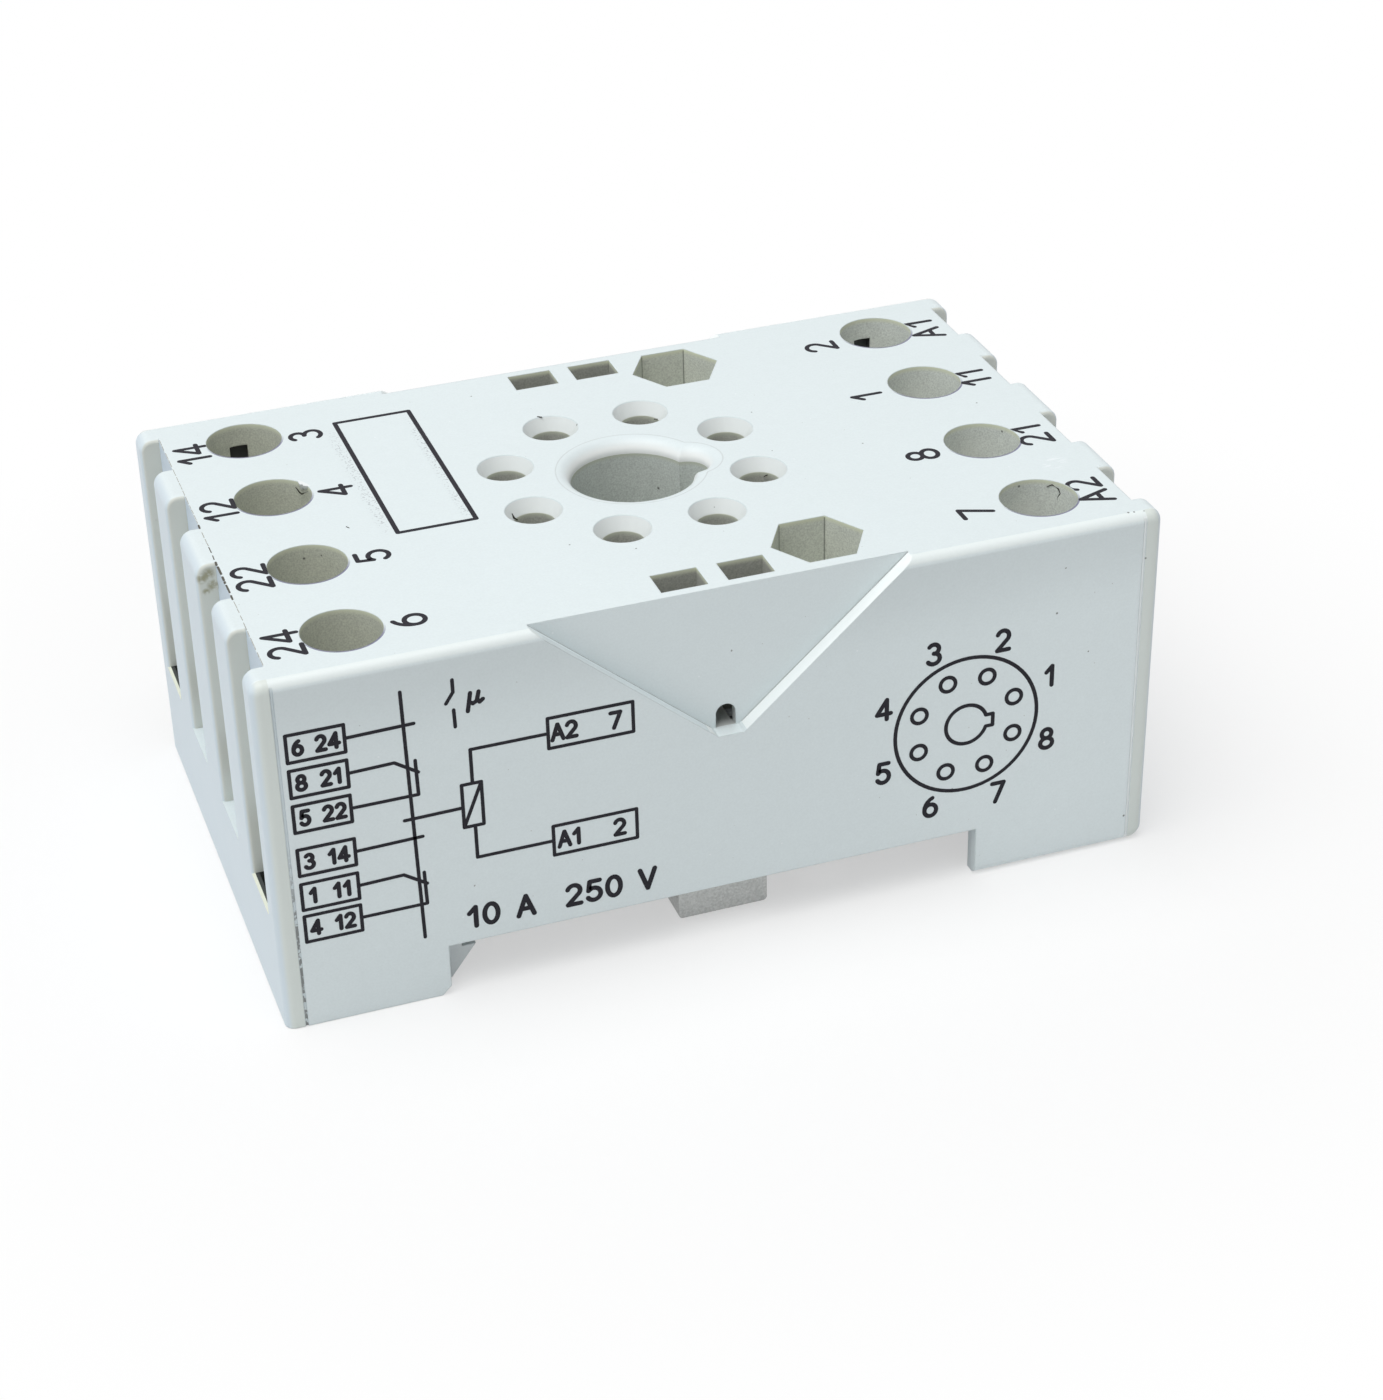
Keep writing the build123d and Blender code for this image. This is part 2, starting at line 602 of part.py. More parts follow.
def leaf_pair():
    """The two sprung leaves that grip a pin, flared at their mouth."""
    top = ceiling_z - LEAF_TOP_GAP
    line = [
        (LEAF_INNER_R, strip_top - STRIP_SHEET / 2),
        (LEAF_INNER_R, top - LEAF_MOUTH_HEIGHT - LEAF_THROAT_HEIGHT),
        (LEAF_THROAT_R, top - LEAF_MOUTH_HEIGHT),
        (LEAF_MOUTH_R, top),
    ]
    back = [(r + LEAF_SHEET, z) for r, z in reversed(line)]
    section = Plane.XZ * make_face(Polyline(*line, *back, close=True))
    leaf = Rot(0, 0, -LEAF_ARC / 2) * revolve(section, Axis.Z, LEAF_ARC)
    return leaf + Rot(0, 0, 180) * leaf


def contact(number):
    """A brass contact: clamp pad, link to the pin and the sprung leaves."""
    px, py = pin_place(number)
    tx, ty = terminal_place(number)
    sx = math.copysign(1, tx)
    sy = math.copysign(1, ty)
    way_in = (sx * (chamber_start_x - PARTITION / 2), ty)
    outline = Pos(px, py) * Circle(STRIP_PIN_PAD_D / 2)
    turn_in = (sx * (centre_half - STRIP_LINK_WIDTH / 2 - STRIP_SIDE_GAP), ty)
    outline += strip_link(turn_in, way_in)
    if abs(ty) > inner_y:
        knee = (sx * knee_x, sy * KNEE_Y)
        outline += strip_link((px, py), knee)
        outline += strip_link(knee, turn_in)
    else:
        outline += strip_link((px, py), turn_in)
    pad_start = chamber_start_x + STRIP_SIDE_GAP
    pad_end = terminal_x + CAGE_LENGTH / 2 + CHAMBER_END_GAP
    link_end = Pos(sx * (pad_start + way_in[0] * sx) / 2, ty)
    outline += link_end * Rectangle(abs(pad_start - abs(way_in[0])) + 1, STRIP_LINK_WIDTH)
    pad_place = Pos(sx * (pad_start + pad_end) / 2, ty)
    outline += pad_place * Rectangle(pad_end - pad_start, STRIP_PAD_WIDTH)
    strip = extrude(Plane.XY.offset(STRIP_Z) * outline, STRIP_SHEET)
    turn = math.degrees(math.atan2(py, px)) + 90
    return strip + Pos(px, py, 0) * Rot(0, 0, turn) * leaf_pair()


def clamp_cage(number):
    """The rising clamp: a folded box round the strip, tapped in its roof."""
    x, y = terminal_place(number)
    height = cage_top_z - cage_bottom_z
    middle_z = (cage_top_z + cage_bottom_z) / 2
    shell = Box(CAGE_LENGTH, cage_width, height)
    shell = fillet(shell.edges().filter_by(Axis.X), CAGE_CORNER)
    cage = Pos(x, y, middle_z) * shell
    inner = (cage_width - 2 * CAGE_SHEET) / 2
    cage -= block(
        x - CAGE_LENGTH, x + CAGE_LENGTH, y - inner, y + inner, cage_floor_z, cage_roof_z,
    )
    return cage - rod(x, y, SCREW_D + 2 * SCREW_TAP_GAP, cage_roof_z - 1, cage_top_z + 1)


def terminal_screw(number):
    """A captive screw with a slotted and crossed head."""
    x, y = terminal_place(number)
    shank = Cylinder(SCREW_D / 2, head_z - strip_top + 0.1)
    tip = shank.edges().group_by(Axis.Z)[0]
    shank = chamfer(tip, SCREW_TIP_CHAMFER)
    screw = Pos(0, 0, (head_z + 0.1 + strip_top) / 2) * shank
    head = Cylinder(SCREW_HEAD_D / 2, SCREW_HEAD_HEIGHT)
    head = chamfer(head.edges().group_by(Axis.Z)[-1], SCREW_HEAD_CHAMFER)
    screw += Pos(0, 0, head_z + SCREW_HEAD_HEIGHT / 2) * head
    drive_z = head_top_z - DRIVE_SLOT_DEPTH / 2
    screw -= Pos(0, 0, drive_z) * Box(SCREW_HEAD_D + 1, DRIVE_SLOT_WIDTH, DRIVE_SLOT_DEPTH)
    screw -= Pos(0, 0, drive_z) * Box(DRIVE_SLOT_WIDTH, DRIVE_CROSS_LENGTH, DRIVE_SLOT_DEPTH)
    return Pos(x, y, 0) * screw


def write(name, shape):
    """Save one piece under its own name."""
    shape.label = name
    export_step(shape, os.path.join("parts", name + ".step"))


os.makedirs("parts", exist_ok=True)
write("housing", housing())
write("base_plate", base_plate())
write("rail_clip", rail_clip())
write("rail_spring", rail_spring())
for pin in PINS:
    write(f"contact_{pin}", contact(pin))
    write(f"clamp_cage_{pin}", clamp_cage(pin))
    write(f"terminal_screw_{pin}", terminal_screw(pin))
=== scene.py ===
import math
import random
from functools import partial

import bmesh
import bpy
from bpy.props import FloatProperty, FloatVectorProperty, PointerProperty
from mathutils import Matrix, Vector


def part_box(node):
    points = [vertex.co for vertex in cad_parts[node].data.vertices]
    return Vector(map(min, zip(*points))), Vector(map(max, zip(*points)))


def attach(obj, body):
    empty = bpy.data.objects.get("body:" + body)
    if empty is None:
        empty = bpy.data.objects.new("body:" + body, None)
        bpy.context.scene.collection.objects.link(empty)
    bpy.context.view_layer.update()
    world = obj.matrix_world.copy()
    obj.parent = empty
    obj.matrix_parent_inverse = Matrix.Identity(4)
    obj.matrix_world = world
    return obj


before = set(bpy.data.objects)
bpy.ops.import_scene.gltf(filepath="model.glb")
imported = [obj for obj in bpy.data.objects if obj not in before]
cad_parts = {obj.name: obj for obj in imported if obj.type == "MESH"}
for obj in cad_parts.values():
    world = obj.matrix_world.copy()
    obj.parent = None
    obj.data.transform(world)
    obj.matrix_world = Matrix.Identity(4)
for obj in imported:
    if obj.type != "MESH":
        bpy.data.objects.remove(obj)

bl_info = {
    "name": "Relay Socket Looks",
    "version": (1, 0, 0),
    "blender": (4, 5, 0),
    "location": "View3D > Sidebar > Relay Socket",
    "description": "Finishes, prints and wear of a rail-mount relay socket",
    "category": "Object",
}

MM = 0.001
MICRON = 0.001 * MM
PINS = range(1, 9)
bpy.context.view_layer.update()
body_low, body_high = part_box("housing")


Colour = partial(FloatVectorProperty, subtype="COLOR", size=3, min=0, max=1)
Share = partial(FloatProperty, subtype="FACTOR", min=0, max=1)
Length = partial(FloatProperty, unit="LENGTH", precision=5)
Angle = partial(FloatProperty, unit="ROTATION")
Power = partial(FloatProperty, unit="POWER")
Place = partial(FloatVectorProperty, subtype="TRANSLATION", size=3, precision=5)


class PlasticSettings(bpy.types.PropertyGroup):
    """Finish of the moulded parts."""

    housing: Colour(name="Housing", description="Colour of the upper body", default=(0.715, 0.785, 0.80))
    cover: Colour(name="Cover", description="Colour of the lower cover", default=(0.62, 0.66, 0.67))
    # Painted shade: the colour towards which corners and hollows are darkened.
    grime: Colour(
        name="Grime", description="Tint of the dust deep in holes and wells", default=(0.36, 0.355, 0.29))
    # Painted shade on the walls inside the holes: olive at the left end, lighter towards the right end
    # where more light falls.
    lining: Colour(
        name="Hole lining", description="Dusty olive of the walls inside holes at the left",
        default=(0.63, 0.65, 0.56))
    lining_right: Colour(
        name="Hole lining right", description="Cleaner walls of the holes towards the right end",
        default=(0.765, 0.80, 0.755))
    # Painted shade: how strongly the deepest hollows take that colour.
    grime_share: Share(
        name="Grime share", description="How much the dust covers the deepest places", default=0.30)
    roughness: Share(name="Roughness", description="How satin the moulded faces are", default=0.42)
    edge: Length(
        name="Edge softness", description="Radius of the tiny rounding on every edge", default=0.00013)


class MetalSettings(bpy.types.PropertyGroup):
    """Finish of the metal parts."""

    zinc: Colour(name="Zinc plate", description="Colour of the plated steel", default=(0.40, 0.412, 0.405))
    wire: Colour(name="Spring wire", description="Colour of the drawn wire", default=(0.40, 0.41, 0.43))
    brass: Colour(name="Brass", description="Colour of the contact strips", default=(0.62, 0.46, 0.20))
    tin: Colour(
        name="Tin", description="Colour of the thin plating on the contacts", default=(0.70, 0.68, 0.62))


class PrintSettings(bpy.types.PropertyGroup):
    """Printed markings."""

    ink: Colour(name="Ink", description="Colour of the printing", default=(0.022, 0.021, 0.027))
    number_height: Length(
        name="Number height", description="Height of the terminal numbers on the top face", default=0.00215)
    number_stroke: Length(
        name="Number stroke", description="Width of a stroke of the terminal numbers", default=0.00034)
    line: Length(
        name="Diagram line", description="Width of the lines of the contact diagram", default=0.00024)
    film: FloatProperty(
        name="Ink film", description="Height of the dried ink above the plastic",
        default=0.000012, unit="LENGTH", precision=6)


class StageSettings(bpy.types.PropertyGroup):
    """Camera, floor and lamps."""

    azimuth: Angle(
        name="Azimuth", description="Direction that the camera looks in, from +Y towards +X",
        default=math.radians(18.83))
    elevation: Angle(
        name="Elevation", description="Height of the camera above the horizon", default=math.radians(31.49))
    roll: Angle(
        name="Roll", description="Turn of the camera about its line of sight", default=math.radians(1.40))
    distance: Length(
        name="Distance", description="From the camera to the point that it looks at", default=0.20565)
    target: Place(
        name="Target", description="Point that the camera looks at", default=(0.00052, -0.00998, 0.0131))
    lens: FloatProperty(
        name="Lens", description="Focal length for a 36 mm sensor", default=77.36, unit="CAMERA")
    key: Power(name="Key lamp", description="Power of the large lamp above", default=5.75)
    key_place: Place(
        name="Key place", description="Where the large lamp hangs", default=(-0.20, -0.10, 0.715))
    side: Power(name="Side lamp", description="Power of the cool lamp at the left", default=0.12)
    side_place: Place(
        name="Side place", description="Where the cool lamp stands", default=(-0.54, -0.03, 0.12))
    sky: FloatProperty(
        name="Sky", description="Brightness of the white surroundings as light", default=0.28)


class Shade:
    """An output socket of a material, which takes part in sums."""

    def __init__(self, graph, socket):
        self.graph = graph
        self.socket = socket

    def math(self, operation, *others):
        return self.graph.node("ShaderNodeMath", {"operation": operation}, (self, *others))

    def __add__(self, other):
        return self.math("ADD", other)

    def __sub__(self, other):
        return self.math("SUBTRACT", other)

    def __mul__(self, other):
        return self.math("MULTIPLY", other)

    def __or__(self, other):
        return self.math("MAXIMUM", other)

    def __abs__(self):
        return self.math("ABSOLUTE")

    def __gt__(self, other):
        return self.math("GREATER_THAN", other)

    def __lt__(self, other):
        return self.math("LESS_THAN", other)

    __radd__ = __add__
    __rmul__ = __mul__

    def __rsub__(self, other):
        return self.graph.node("ShaderNodeMath", {"operation": "SUBTRACT"}, (other, self))


class Finish:
    """A material, or the world, whose nodes are written as Python expressions."""

    def __init__(self, name, world=False):
        self.block = (bpy.data.worlds if world else bpy.data.materials).new(name)
        self.block.use_nodes = True
        self.tree = self.block.node_tree
        self.tree.nodes.clear()
        self.output = self.tree.nodes.new("ShaderNodeOutputWorld" if world else "ShaderNodeOutputMaterial")

    def node(self, kind, settings=None, sockets=(), out=0):
        """Add a node: its settings first, then the values or links of its sockets."""
        made = self.tree.nodes.new(kind)
        for key, value in (settings or {}).items():
            setattr(made, key, value)
        pairs = sockets.items() if isinstance(sockets, dict) else enumerate(sockets)
        for key, value in pairs:
            if isinstance(value, Shade):
                self.tree.links.new(value.socket, made.inputs[key])
            else:
                made.inputs[key].default_value = value
        return Shade(self, made.outputs[out])

    def place(self, stretch=(1, 1, 1)):
        """Place on the object in millimetres, each axis stretched by its own factor."""
        sockets = self.node("ShaderNodeTexCoord", out="Object"), tuple(s / MM for s in stretch)
        return self.node("ShaderNodeVectorMath", {"operation": "MULTIPLY"}, sockets)

    def along(self, axis):
        """One coordinate of the place on the object, in millimetres."""
        return self.node("ShaderNodeSeparateXYZ", sockets=(self.place(),), out=axis)

    def noise(self, size, detail=2.0, stretch=(1, 1, 1)):
        """Noise from 0 to 1 with features of a size in millimetres."""
        sockets = {"Vector": self.place(stretch), "Scale": 1 / size, "Detail": detail}
        return self.node("ShaderNodeTexNoise", sockets=sockets)

    def cells(self, size, out="Distance"):
        """Scattered cells of a size in millimetres: distance to a cell's middle, or its colour."""
        sockets = {"Vector": self.place(), "Scale": 1 / size}
        return self.node("ShaderNodeTexVoronoi", {"feature": "F1"}, sockets, out=out)

    def step(self, value, low, high):
        """Smooth step of a value between two limits."""
        sockets = {"Value": value, "From Min": low, "From Max": high}
        return self.node("ShaderNodeMapRange", {"interpolation_type": "SMOOTHSTEP"}, sockets)

    def uneven(self, *waves):
        """A factor about 1 that varies by each wave: its swing, its size in millimetres and its detail."""
        factor = 1
        for swing, size, detail in waves:
            factor = factor + swing * (self.noise(size, detail) - 0.5)
        return factor

    def specks(self, size, radius, share):
        """Mask of scattered specks: their spacing, their radius and the share of cells that hold one."""
        distance = self.cells(size)
        chance = self.node("ShaderNodeSeparateColor", sockets=(self.cells(size, "Color"),))
        ragged = radius / size * (0.6 + 0.8 * self.noise(radius, 1.0))
        return (distance < ragged) * (chance < share)

    def near(self, point, reach, core=0.3):
        """Mask that fades from 1, in the core's share of its reach round a point, to 0 at its reach."""
        sockets = self.place(), point
        away = self.node("ShaderNodeVectorMath", {"operation": "DISTANCE"}, sockets, out="Value")
        return 1 - self.step(away, core * reach, reach)

    def mix(self, factor, first, second):
        """Colour between two colours."""
        sockets = {"Factor": factor, 6: self.rgba(first), 7: self.rgba(second)}
        return self.node("ShaderNodeMix", {"data_type": "RGBA"}, sockets, out=2)

    def coat(self, mask, base, tone):
        """Base under one of the tones, where a mask lets it."""
        colour, cover = TONES[tone]
        return self.mix(mask * cover, base, colour)

    def tint(self, colour, factor):
        """Colour made brighter or darker by a factor that varies."""
        return self.node("ShaderNodeVectorMath", {"operation": "SCALE"}, {0: colour, "Scale": factor})

    @staticmethod
    def rgba(colour):
        """A colour as a node takes it: a link, or four numbers."""
        return colour if isinstance(colour, Shade) else (*tuple(colour)[:3], 1.0)

    def hollows(self, reach):
        """Mask of corners and hollows within a reach in metres."""
        sockets = {"Distance": reach}
        settings = {"samples": 6, "only_local": True}
        return 1 - self.node("ShaderNodeAmbientOcclusion", settings, sockets, out="AO")

    def bump(self, height, rise, strength=1.0, edge=None):
        """Normal with a fine relief of a rise in metres, over soft edges if a radius is given."""
        sockets = {"Strength": strength, "Distance": rise, "Height": height}
        if edge:
            sockets["Normal"] = self.node("ShaderNodeBevel", {"samples": 6}, {"Radius": edge})
        return self.node("ShaderNodeBump", sockets=sockets)

    def surface(self, colour, roughness, normal, metallic=0.0, specular=0.5):
        """Close the material with its main shader."""
        return self.close(self.node("ShaderNodeBsdfPrincipled", sockets={
            "Base Color": self.rgba(colour), "Roughness": roughness, "Metallic": metallic,
            "Specular IOR Level": specular, "Normal": normal}))

    def close(self, shader):
        """Lead the last shader to the output."""
        self.tree.links.new(shader.socket, self.output.inputs["Surface"])
        return self.block


# Colour of a place, and how much of the plastic it covers there.
TONES = {
    "dark speck": ((0.16, 0.16, 0.15), 0.75),
    "brown speck": ((0.30, 0.30, 0.27), 0.40),
    "pale speck": ((0.92, 0.95, 0.97), 0.45),
    # Painted shade and painted highlights in the holes of the top face: centre wall shade, glow in the
    # bores, pale pin mouths, bright flare, near-rim shadow line, shaded well corners, darker ring round the
    # flare.
    "centre wall": ((0.63, 0.675, 0.65), 0.8),
    "glow": ((0.92, 0.93, 0.86), 0.5),
    "pin mouth": ((0.80, 0.83, 0.82), 0.8),
    "flare": ((0.95, 0.97, 0.96), 0.95),
    "rim_shadow": ((0.14, 0.14, 0.24), 0.9),
    "well corner": ((0.12, 0.12, 0.10), 0.6),
    "outline": ((0.42, 0.44, 0.44), 0.35),
    # Painted light and shade at the ends: lit right ledges and shaded ledge edges, shaded rounded corners
    # and fin sides, bluish end faces and slot floors, black pockets with highlighted rims, paler grooves.
    "ledge": ((0.95, 0.975, 0.96), 0.6),
    "ledge line": ((0.22, 0.23, 0.23), 0.7),
    "strip": ((0.67, 0.715, 0.675), 0.8),
    "fin side": ((0.635, 0.65, 0.59), 0.9),
    "end face": ((0.622, 0.703, 0.753), 1),
    "slot floor": ((0.58, 0.675, 0.775), 0.8),
    "pocket": ((0.02, 0.02, 0.018), 0.95),
    "pocket rim": ((0.88, 0.89, 0.72), 0.8),
    "groove": ((0.93, 0.96, 0.96), 0.8),
    "groove dirt": ((0.16, 0.16, 0.15), 0.75),
    # Painted highlight on the rounded top edge of the long sides.
    "rounding": ((0.89, 0.92, 0.88), 0.35),
    "smear": ((0.22, 0.22, 0.24), 0.5),
    "olive stain": ((0.25, 0.225, 0.10), 0.7),
    "scuff": ((0.93, 0.96, 0.99), 0.45),
    "dark spot": ((0.06, 0.06, 0.055), 0.85),
    # Painted shade in the relief openings of the bores and in the window of the recess.
    "relief": ((0.02, 0.02, 0.018), 0.9),
    "window": ((0.50, 0.52, 0.51), 0.95),
}
# Spacing and radius in millimetres, and the share of cells that hold a speck.
SPECKS = {
    "dark speck": (2.6, 0.075, 0.30),
    "brown speck": (1.3, 0.045, 0.45),
    "pale speck": (1.7, 0.06, 0.40),
}
# Ambient occlusion between these limits becomes the painted shade of corners and hollows.
CORNER_LIMITS = (0.52, 0.95)


def moulded_plastic(name, colour, settings, stains_and_shade=None):
    """Satin moulded plastic with faint flow tones, specks and painted shade deep in its holes and corners.
    """
    finish = Finish(name)
    flow = finish.uneven((0.03, 14.0, 2.0), (0.03, 0.9, 3.0), (0.09, 0.16, 2.0))
    base = finish.tint(tuple(colour), flow)
    # Painted shade: the corners and hollows that ambient occlusion finds are darkened towards an olive
    # tint.
    darkening = finish.step(finish.hollows(6 * MM), *CORNER_LIMITS)
    base = finish.mix(darkening * settings.grime_share, base, tuple(settings.grime))
    for tone, scatter in SPECKS.items():
        base = finish.coat(finish.specks(*scatter), base, tone)
    # Stains, and painted light and shade, that depend on the place, where the part has them.
    if stains_and_shade:
        base = stains_and_shade(finish, base, settings)
    grain = finish.noise(0.11, 3.0) + 0.5 * finish.noise(0.035, 1.0)
    roughness = settings.roughness + 0.10 * (finish.noise(3.0, 3.0) - 0.5) + 0.2 * darkening
    normal = finish.bump(grain, 4 * MICRON, 0.5, settings.edge)
    return finish.surface(base, roughness, normal, specular=0.42)


OLIVE_STAINS = (
    ((-30.1, -2.7, 25.5), 0.55), ((-29.9, -2.7, 24.6), 0.55), ((-30.6, -2.7, 25.2), 0.5),
    ((-30.4, -2.7, 24.2), 0.35),
)
DARK_SPOTS = (
    ((2.9, 3.1, 22.6), 0.14), ((-23.7, -2.4, 25.2), 0.13), ((-22.6, -2.8, 25.4), 0.09),
    ((26.2, -3.6, 25.8), 0.12), ((23.8, -11.6, 25.8), 0.12), ((23.3, -11.7, 23.9), 0.1),
    ((26.1, 0.5, 26.2), 0.09), ((9.9, -1.1, 26.2), 0.07), ((10.7, 5.1, 26.2), 0.08),
    ((5.1, 7.6, 26.2), 0.08), ((-7.3, -8.9, 26.2), 0.09), ((-3.4, -11.0, 26.2), 0.09),
    ((23.4, -19.0, 19.9), 0.11), ((25.9, -19.0, 16.4), 0.08), ((29.8, -19.0, 22.8), 0.10),
    ((29.4, -19.0, 2.2), 0.12), ((3.7, -6.4, 25.6), 0.08), ((-1.4, 8.0, 26.1), 0.12),
    ((28.6, -18.4, 26.2), 0.12), ((29.0, -18.45, 26.18), 0.10), ((29.7, -18.5, 26.1), 0.12),
    ((25.0, -18.8, 25.85), 0.10), ((25.4, -18.85, 25.8), 0.09),
)
SCUFF, SCUFF_REACH = (27.1, -9.95, 26.2), 1.3
# Places and reaches of the housing's features, in millimetres; a pair is a middle and its half width.
TERMINAL_X, TERMINAL_ROWS, BORE_REACH = 24.0, (5.05, 14.25), 2.75
# Where the painted shadow line along the bores' near rims lies and fades, and where the painted glow down
# the bores lies.
BORE_RIM_SHADOW, RIM_SHADOW_FADE, GLOW_DEPTH, GLOW_REACH = (2.70, 0.075), (0.0, 1.7), (0.6, 3.0), (0.2, 2.1)
PIN_RING, PIN_REACH, RING_REACH, MOUTH_REACH, MOUTH_Z = 8.725, 1.55, 10.6, 2.05, (25.67, 0.46)
CENTRE_REACH, CENTRE_SHADE_REACH, KEY_X, KEY_REACH = 4.35, 5.85, 4.0, 1.6
FLARE_REACH, CENTRE_FLARE, KEY_FLARE, OUTLINE_HALF = 6.6, 5.25, 2.5, 0.05
WELL_X, WELL_Y, WELL_REACH = 8.1, 14.15, 3.32
WELL_CORNERS, WELL_LINE = ((1.634, 2.83), (3.268, 0.0)), 0.055
CLIP_SLOTS, CLIP_SLOT_Y = ((-2.2, 1.62), (2.375, 1.62)), (16.02, 1.22)
RIM_Z, RING_RIM_Z, RIM_FADE = 26.17, 25.24, (0.05, 0.45)
RECESS_Y, RECESS_LINE_Y, RECESS_Z, RECESS_END, RECESS_PALE = 17.85, 17.98, (21.0, 5.15), 20, -1.3
SLOT_FLOOR, SLOT_FOOT, POCKET_Y = 29.6, 7.8, (14.25, 2.43)
END_SIDE_Y, STRIP_Y, STRIP_X, TURNED = 18.6, 18.4, (29.72, 29.8), (0.3, 0.8)
GROOVE_X, GROOVE_Y = (29.65, 0.12), (18.93, 0.06)
LONG_SIDE_Y, ROUNDING_Z, SHADE_Z, SHADE_END_Z = 18.3, (25.6, 25.8), (19.0, 25.3), (25.4, 25.6)
SMEAR_LINES, SMEAR_FADE, SMEAR_ENDS = (-18.0, -12.3), (0.15, 0.65), ((-4.0, -1.0), (10.0, 15.0))
RELIEF_X, RELIEF_Y, RELIEF_Z = (24.0, 0.68), (17.27, 0.34), 24.6
WINDOW_X, WINDOW_Y, WINDOW_Z = (0.17, 0.75), (16.3, 1.52), (16.55, 0.98)
# Painted light and shade on the hole walls: paler under the bores' rims, the tone under the pin ring's rim,
# and darker deep in the clip slots and the pin ring.
PALE_RIM, RING_RIM, SLOT_AND_RING_SHADE = (0.82, 0.85, 0.68), (0.60, 0.63, 0.53), (0.45, 0.46, 0.42)


def distance(x, y):
    """Distance from the origin of two coordinates."""
    return (x * x + y * y).math("SQRT")


def within(value, middle, half):
    """Mask of a value that lies no further than half from the middle."""
    return abs(value - middle) < half


def hole_lining(finish, base, x, y, z, settings):
    """Painted shade on the walls of the holes and wells in the top face, olive and lighter to the right,
    paler just under their rims, with painted highlights and shade lines.
    """
    across, side, from_axis = abs(x), abs(y), distance(x, y)
    from_key, in_ring = distance(x - KEY_X, y), from_axis < RING_REACH
    ring = within(from_axis, PIN_RING, PIN_REACH)
    slot = (within(x, *CLIP_SLOTS[0]) | within(x, *CLIP_SLOTS[1])) * within(side, *CLIP_SLOT_Y)
    hole = slot | ring | (from_axis < CENTRE_REACH) | (from_key < KEY_REACH)
    hole = hole | (distance(x - WELL_X, side - WELL_Y) < WELL_REACH)
    for row in TERMINAL_ROWS:
        hole = hole | (distance(across - TERMINAL_X, side - row) < BORE_REACH)
    below = RIM_Z - in_ring * (RIM_Z - RING_RIM_Z) - z
    # Painted shade on the walls: olive at the left and lighter towards the right end, greyer in the centre
    # hole, darker in the clip slots and the pin ring, and paler just under the rims.
    lining = finish.mix(finish.step(x, -10, 30), tuple(settings.lining), tuple(settings.lining_right))
    lining = finish.coat(from_axis < CENTRE_SHADE_REACH, lining, "centre wall")
    grain = finish.uneven((0.75, 0.12, 2.0), (0.12, 1.2, 2.0))
    deep = finish.tint(finish.mix(slot | ring, lining, SLOT_AND_RING_SHADE), grain)
    wall = finish.mix(finish.step(below, *RIM_FADE), finish.mix(in_ring, PALE_RIM, RING_RIM), deep)
    # Painted highlight: a pale glow partway down the terminal bores, stronger towards the right.
    off_middle = finish.step(abs(across - TERMINAL_X), *GLOW_REACH)
    glow = finish.step(below, *GLOW_DEPTH) * (1 - off_middle)
    wall = finish.coat(glow * finish.step(x, -40, 30), wall, "glow")
    base = finish.mix(hole * (below > 0), base, wall)
    # Painted light: paler mouths of the pin holes and a bright flare round the centre hole.
    mouth = within(from_axis, PIN_RING, MOUTH_REACH) * within(z, *MOUTH_Z)
    base = finish.coat(mouth, base, "pin mouth")
    flare = (from_axis < FLARE_REACH) * (z > RING_RIM_Z - 0.05) * finish.step(RIM_Z - z, 0.05, 0.6)
    base = finish.coat(flare, base, "flare")
    # Painted shadow: a dark line on the top face along the near rim of each terminal bore, on its -Y side.
    for row in (*TERMINAL_ROWS, *(-row for row in TERMINAL_ROWS)):
        rim_shadow = within(distance(across - TERMINAL_X, y - row), *BORE_RIM_SHADOW) * (z > RIM_Z)
        base = finish.coat(rim_shadow * finish.step(row - y, *RIM_SHADOW_FADE), base, "rim_shadow")
    # Painted shade: dark lines down the corners of the hexagonal wells.
    over, aside = abs(x - WELL_X), abs(side - WELL_Y)
    for corner_x, corner_y in WELL_CORNERS:
        line = distance(over - corner_x, aside - corner_y) < WELL_LINE
        base = finish.coat(line * (below > 0.1), base, "well corner")
    # Painted shade: a thin darker line round the edge of the flare and round the key notch.
    outline = within(from_axis, CENTRE_FLARE, OUTLINE_HALF) * (from_key > KEY_FLARE)
    keyed = within(from_key, KEY_FLARE, OUTLINE_HALF) * (from_axis > CENTRE_FLARE)
    return finish.coat(outline + keyed, base, "outline")


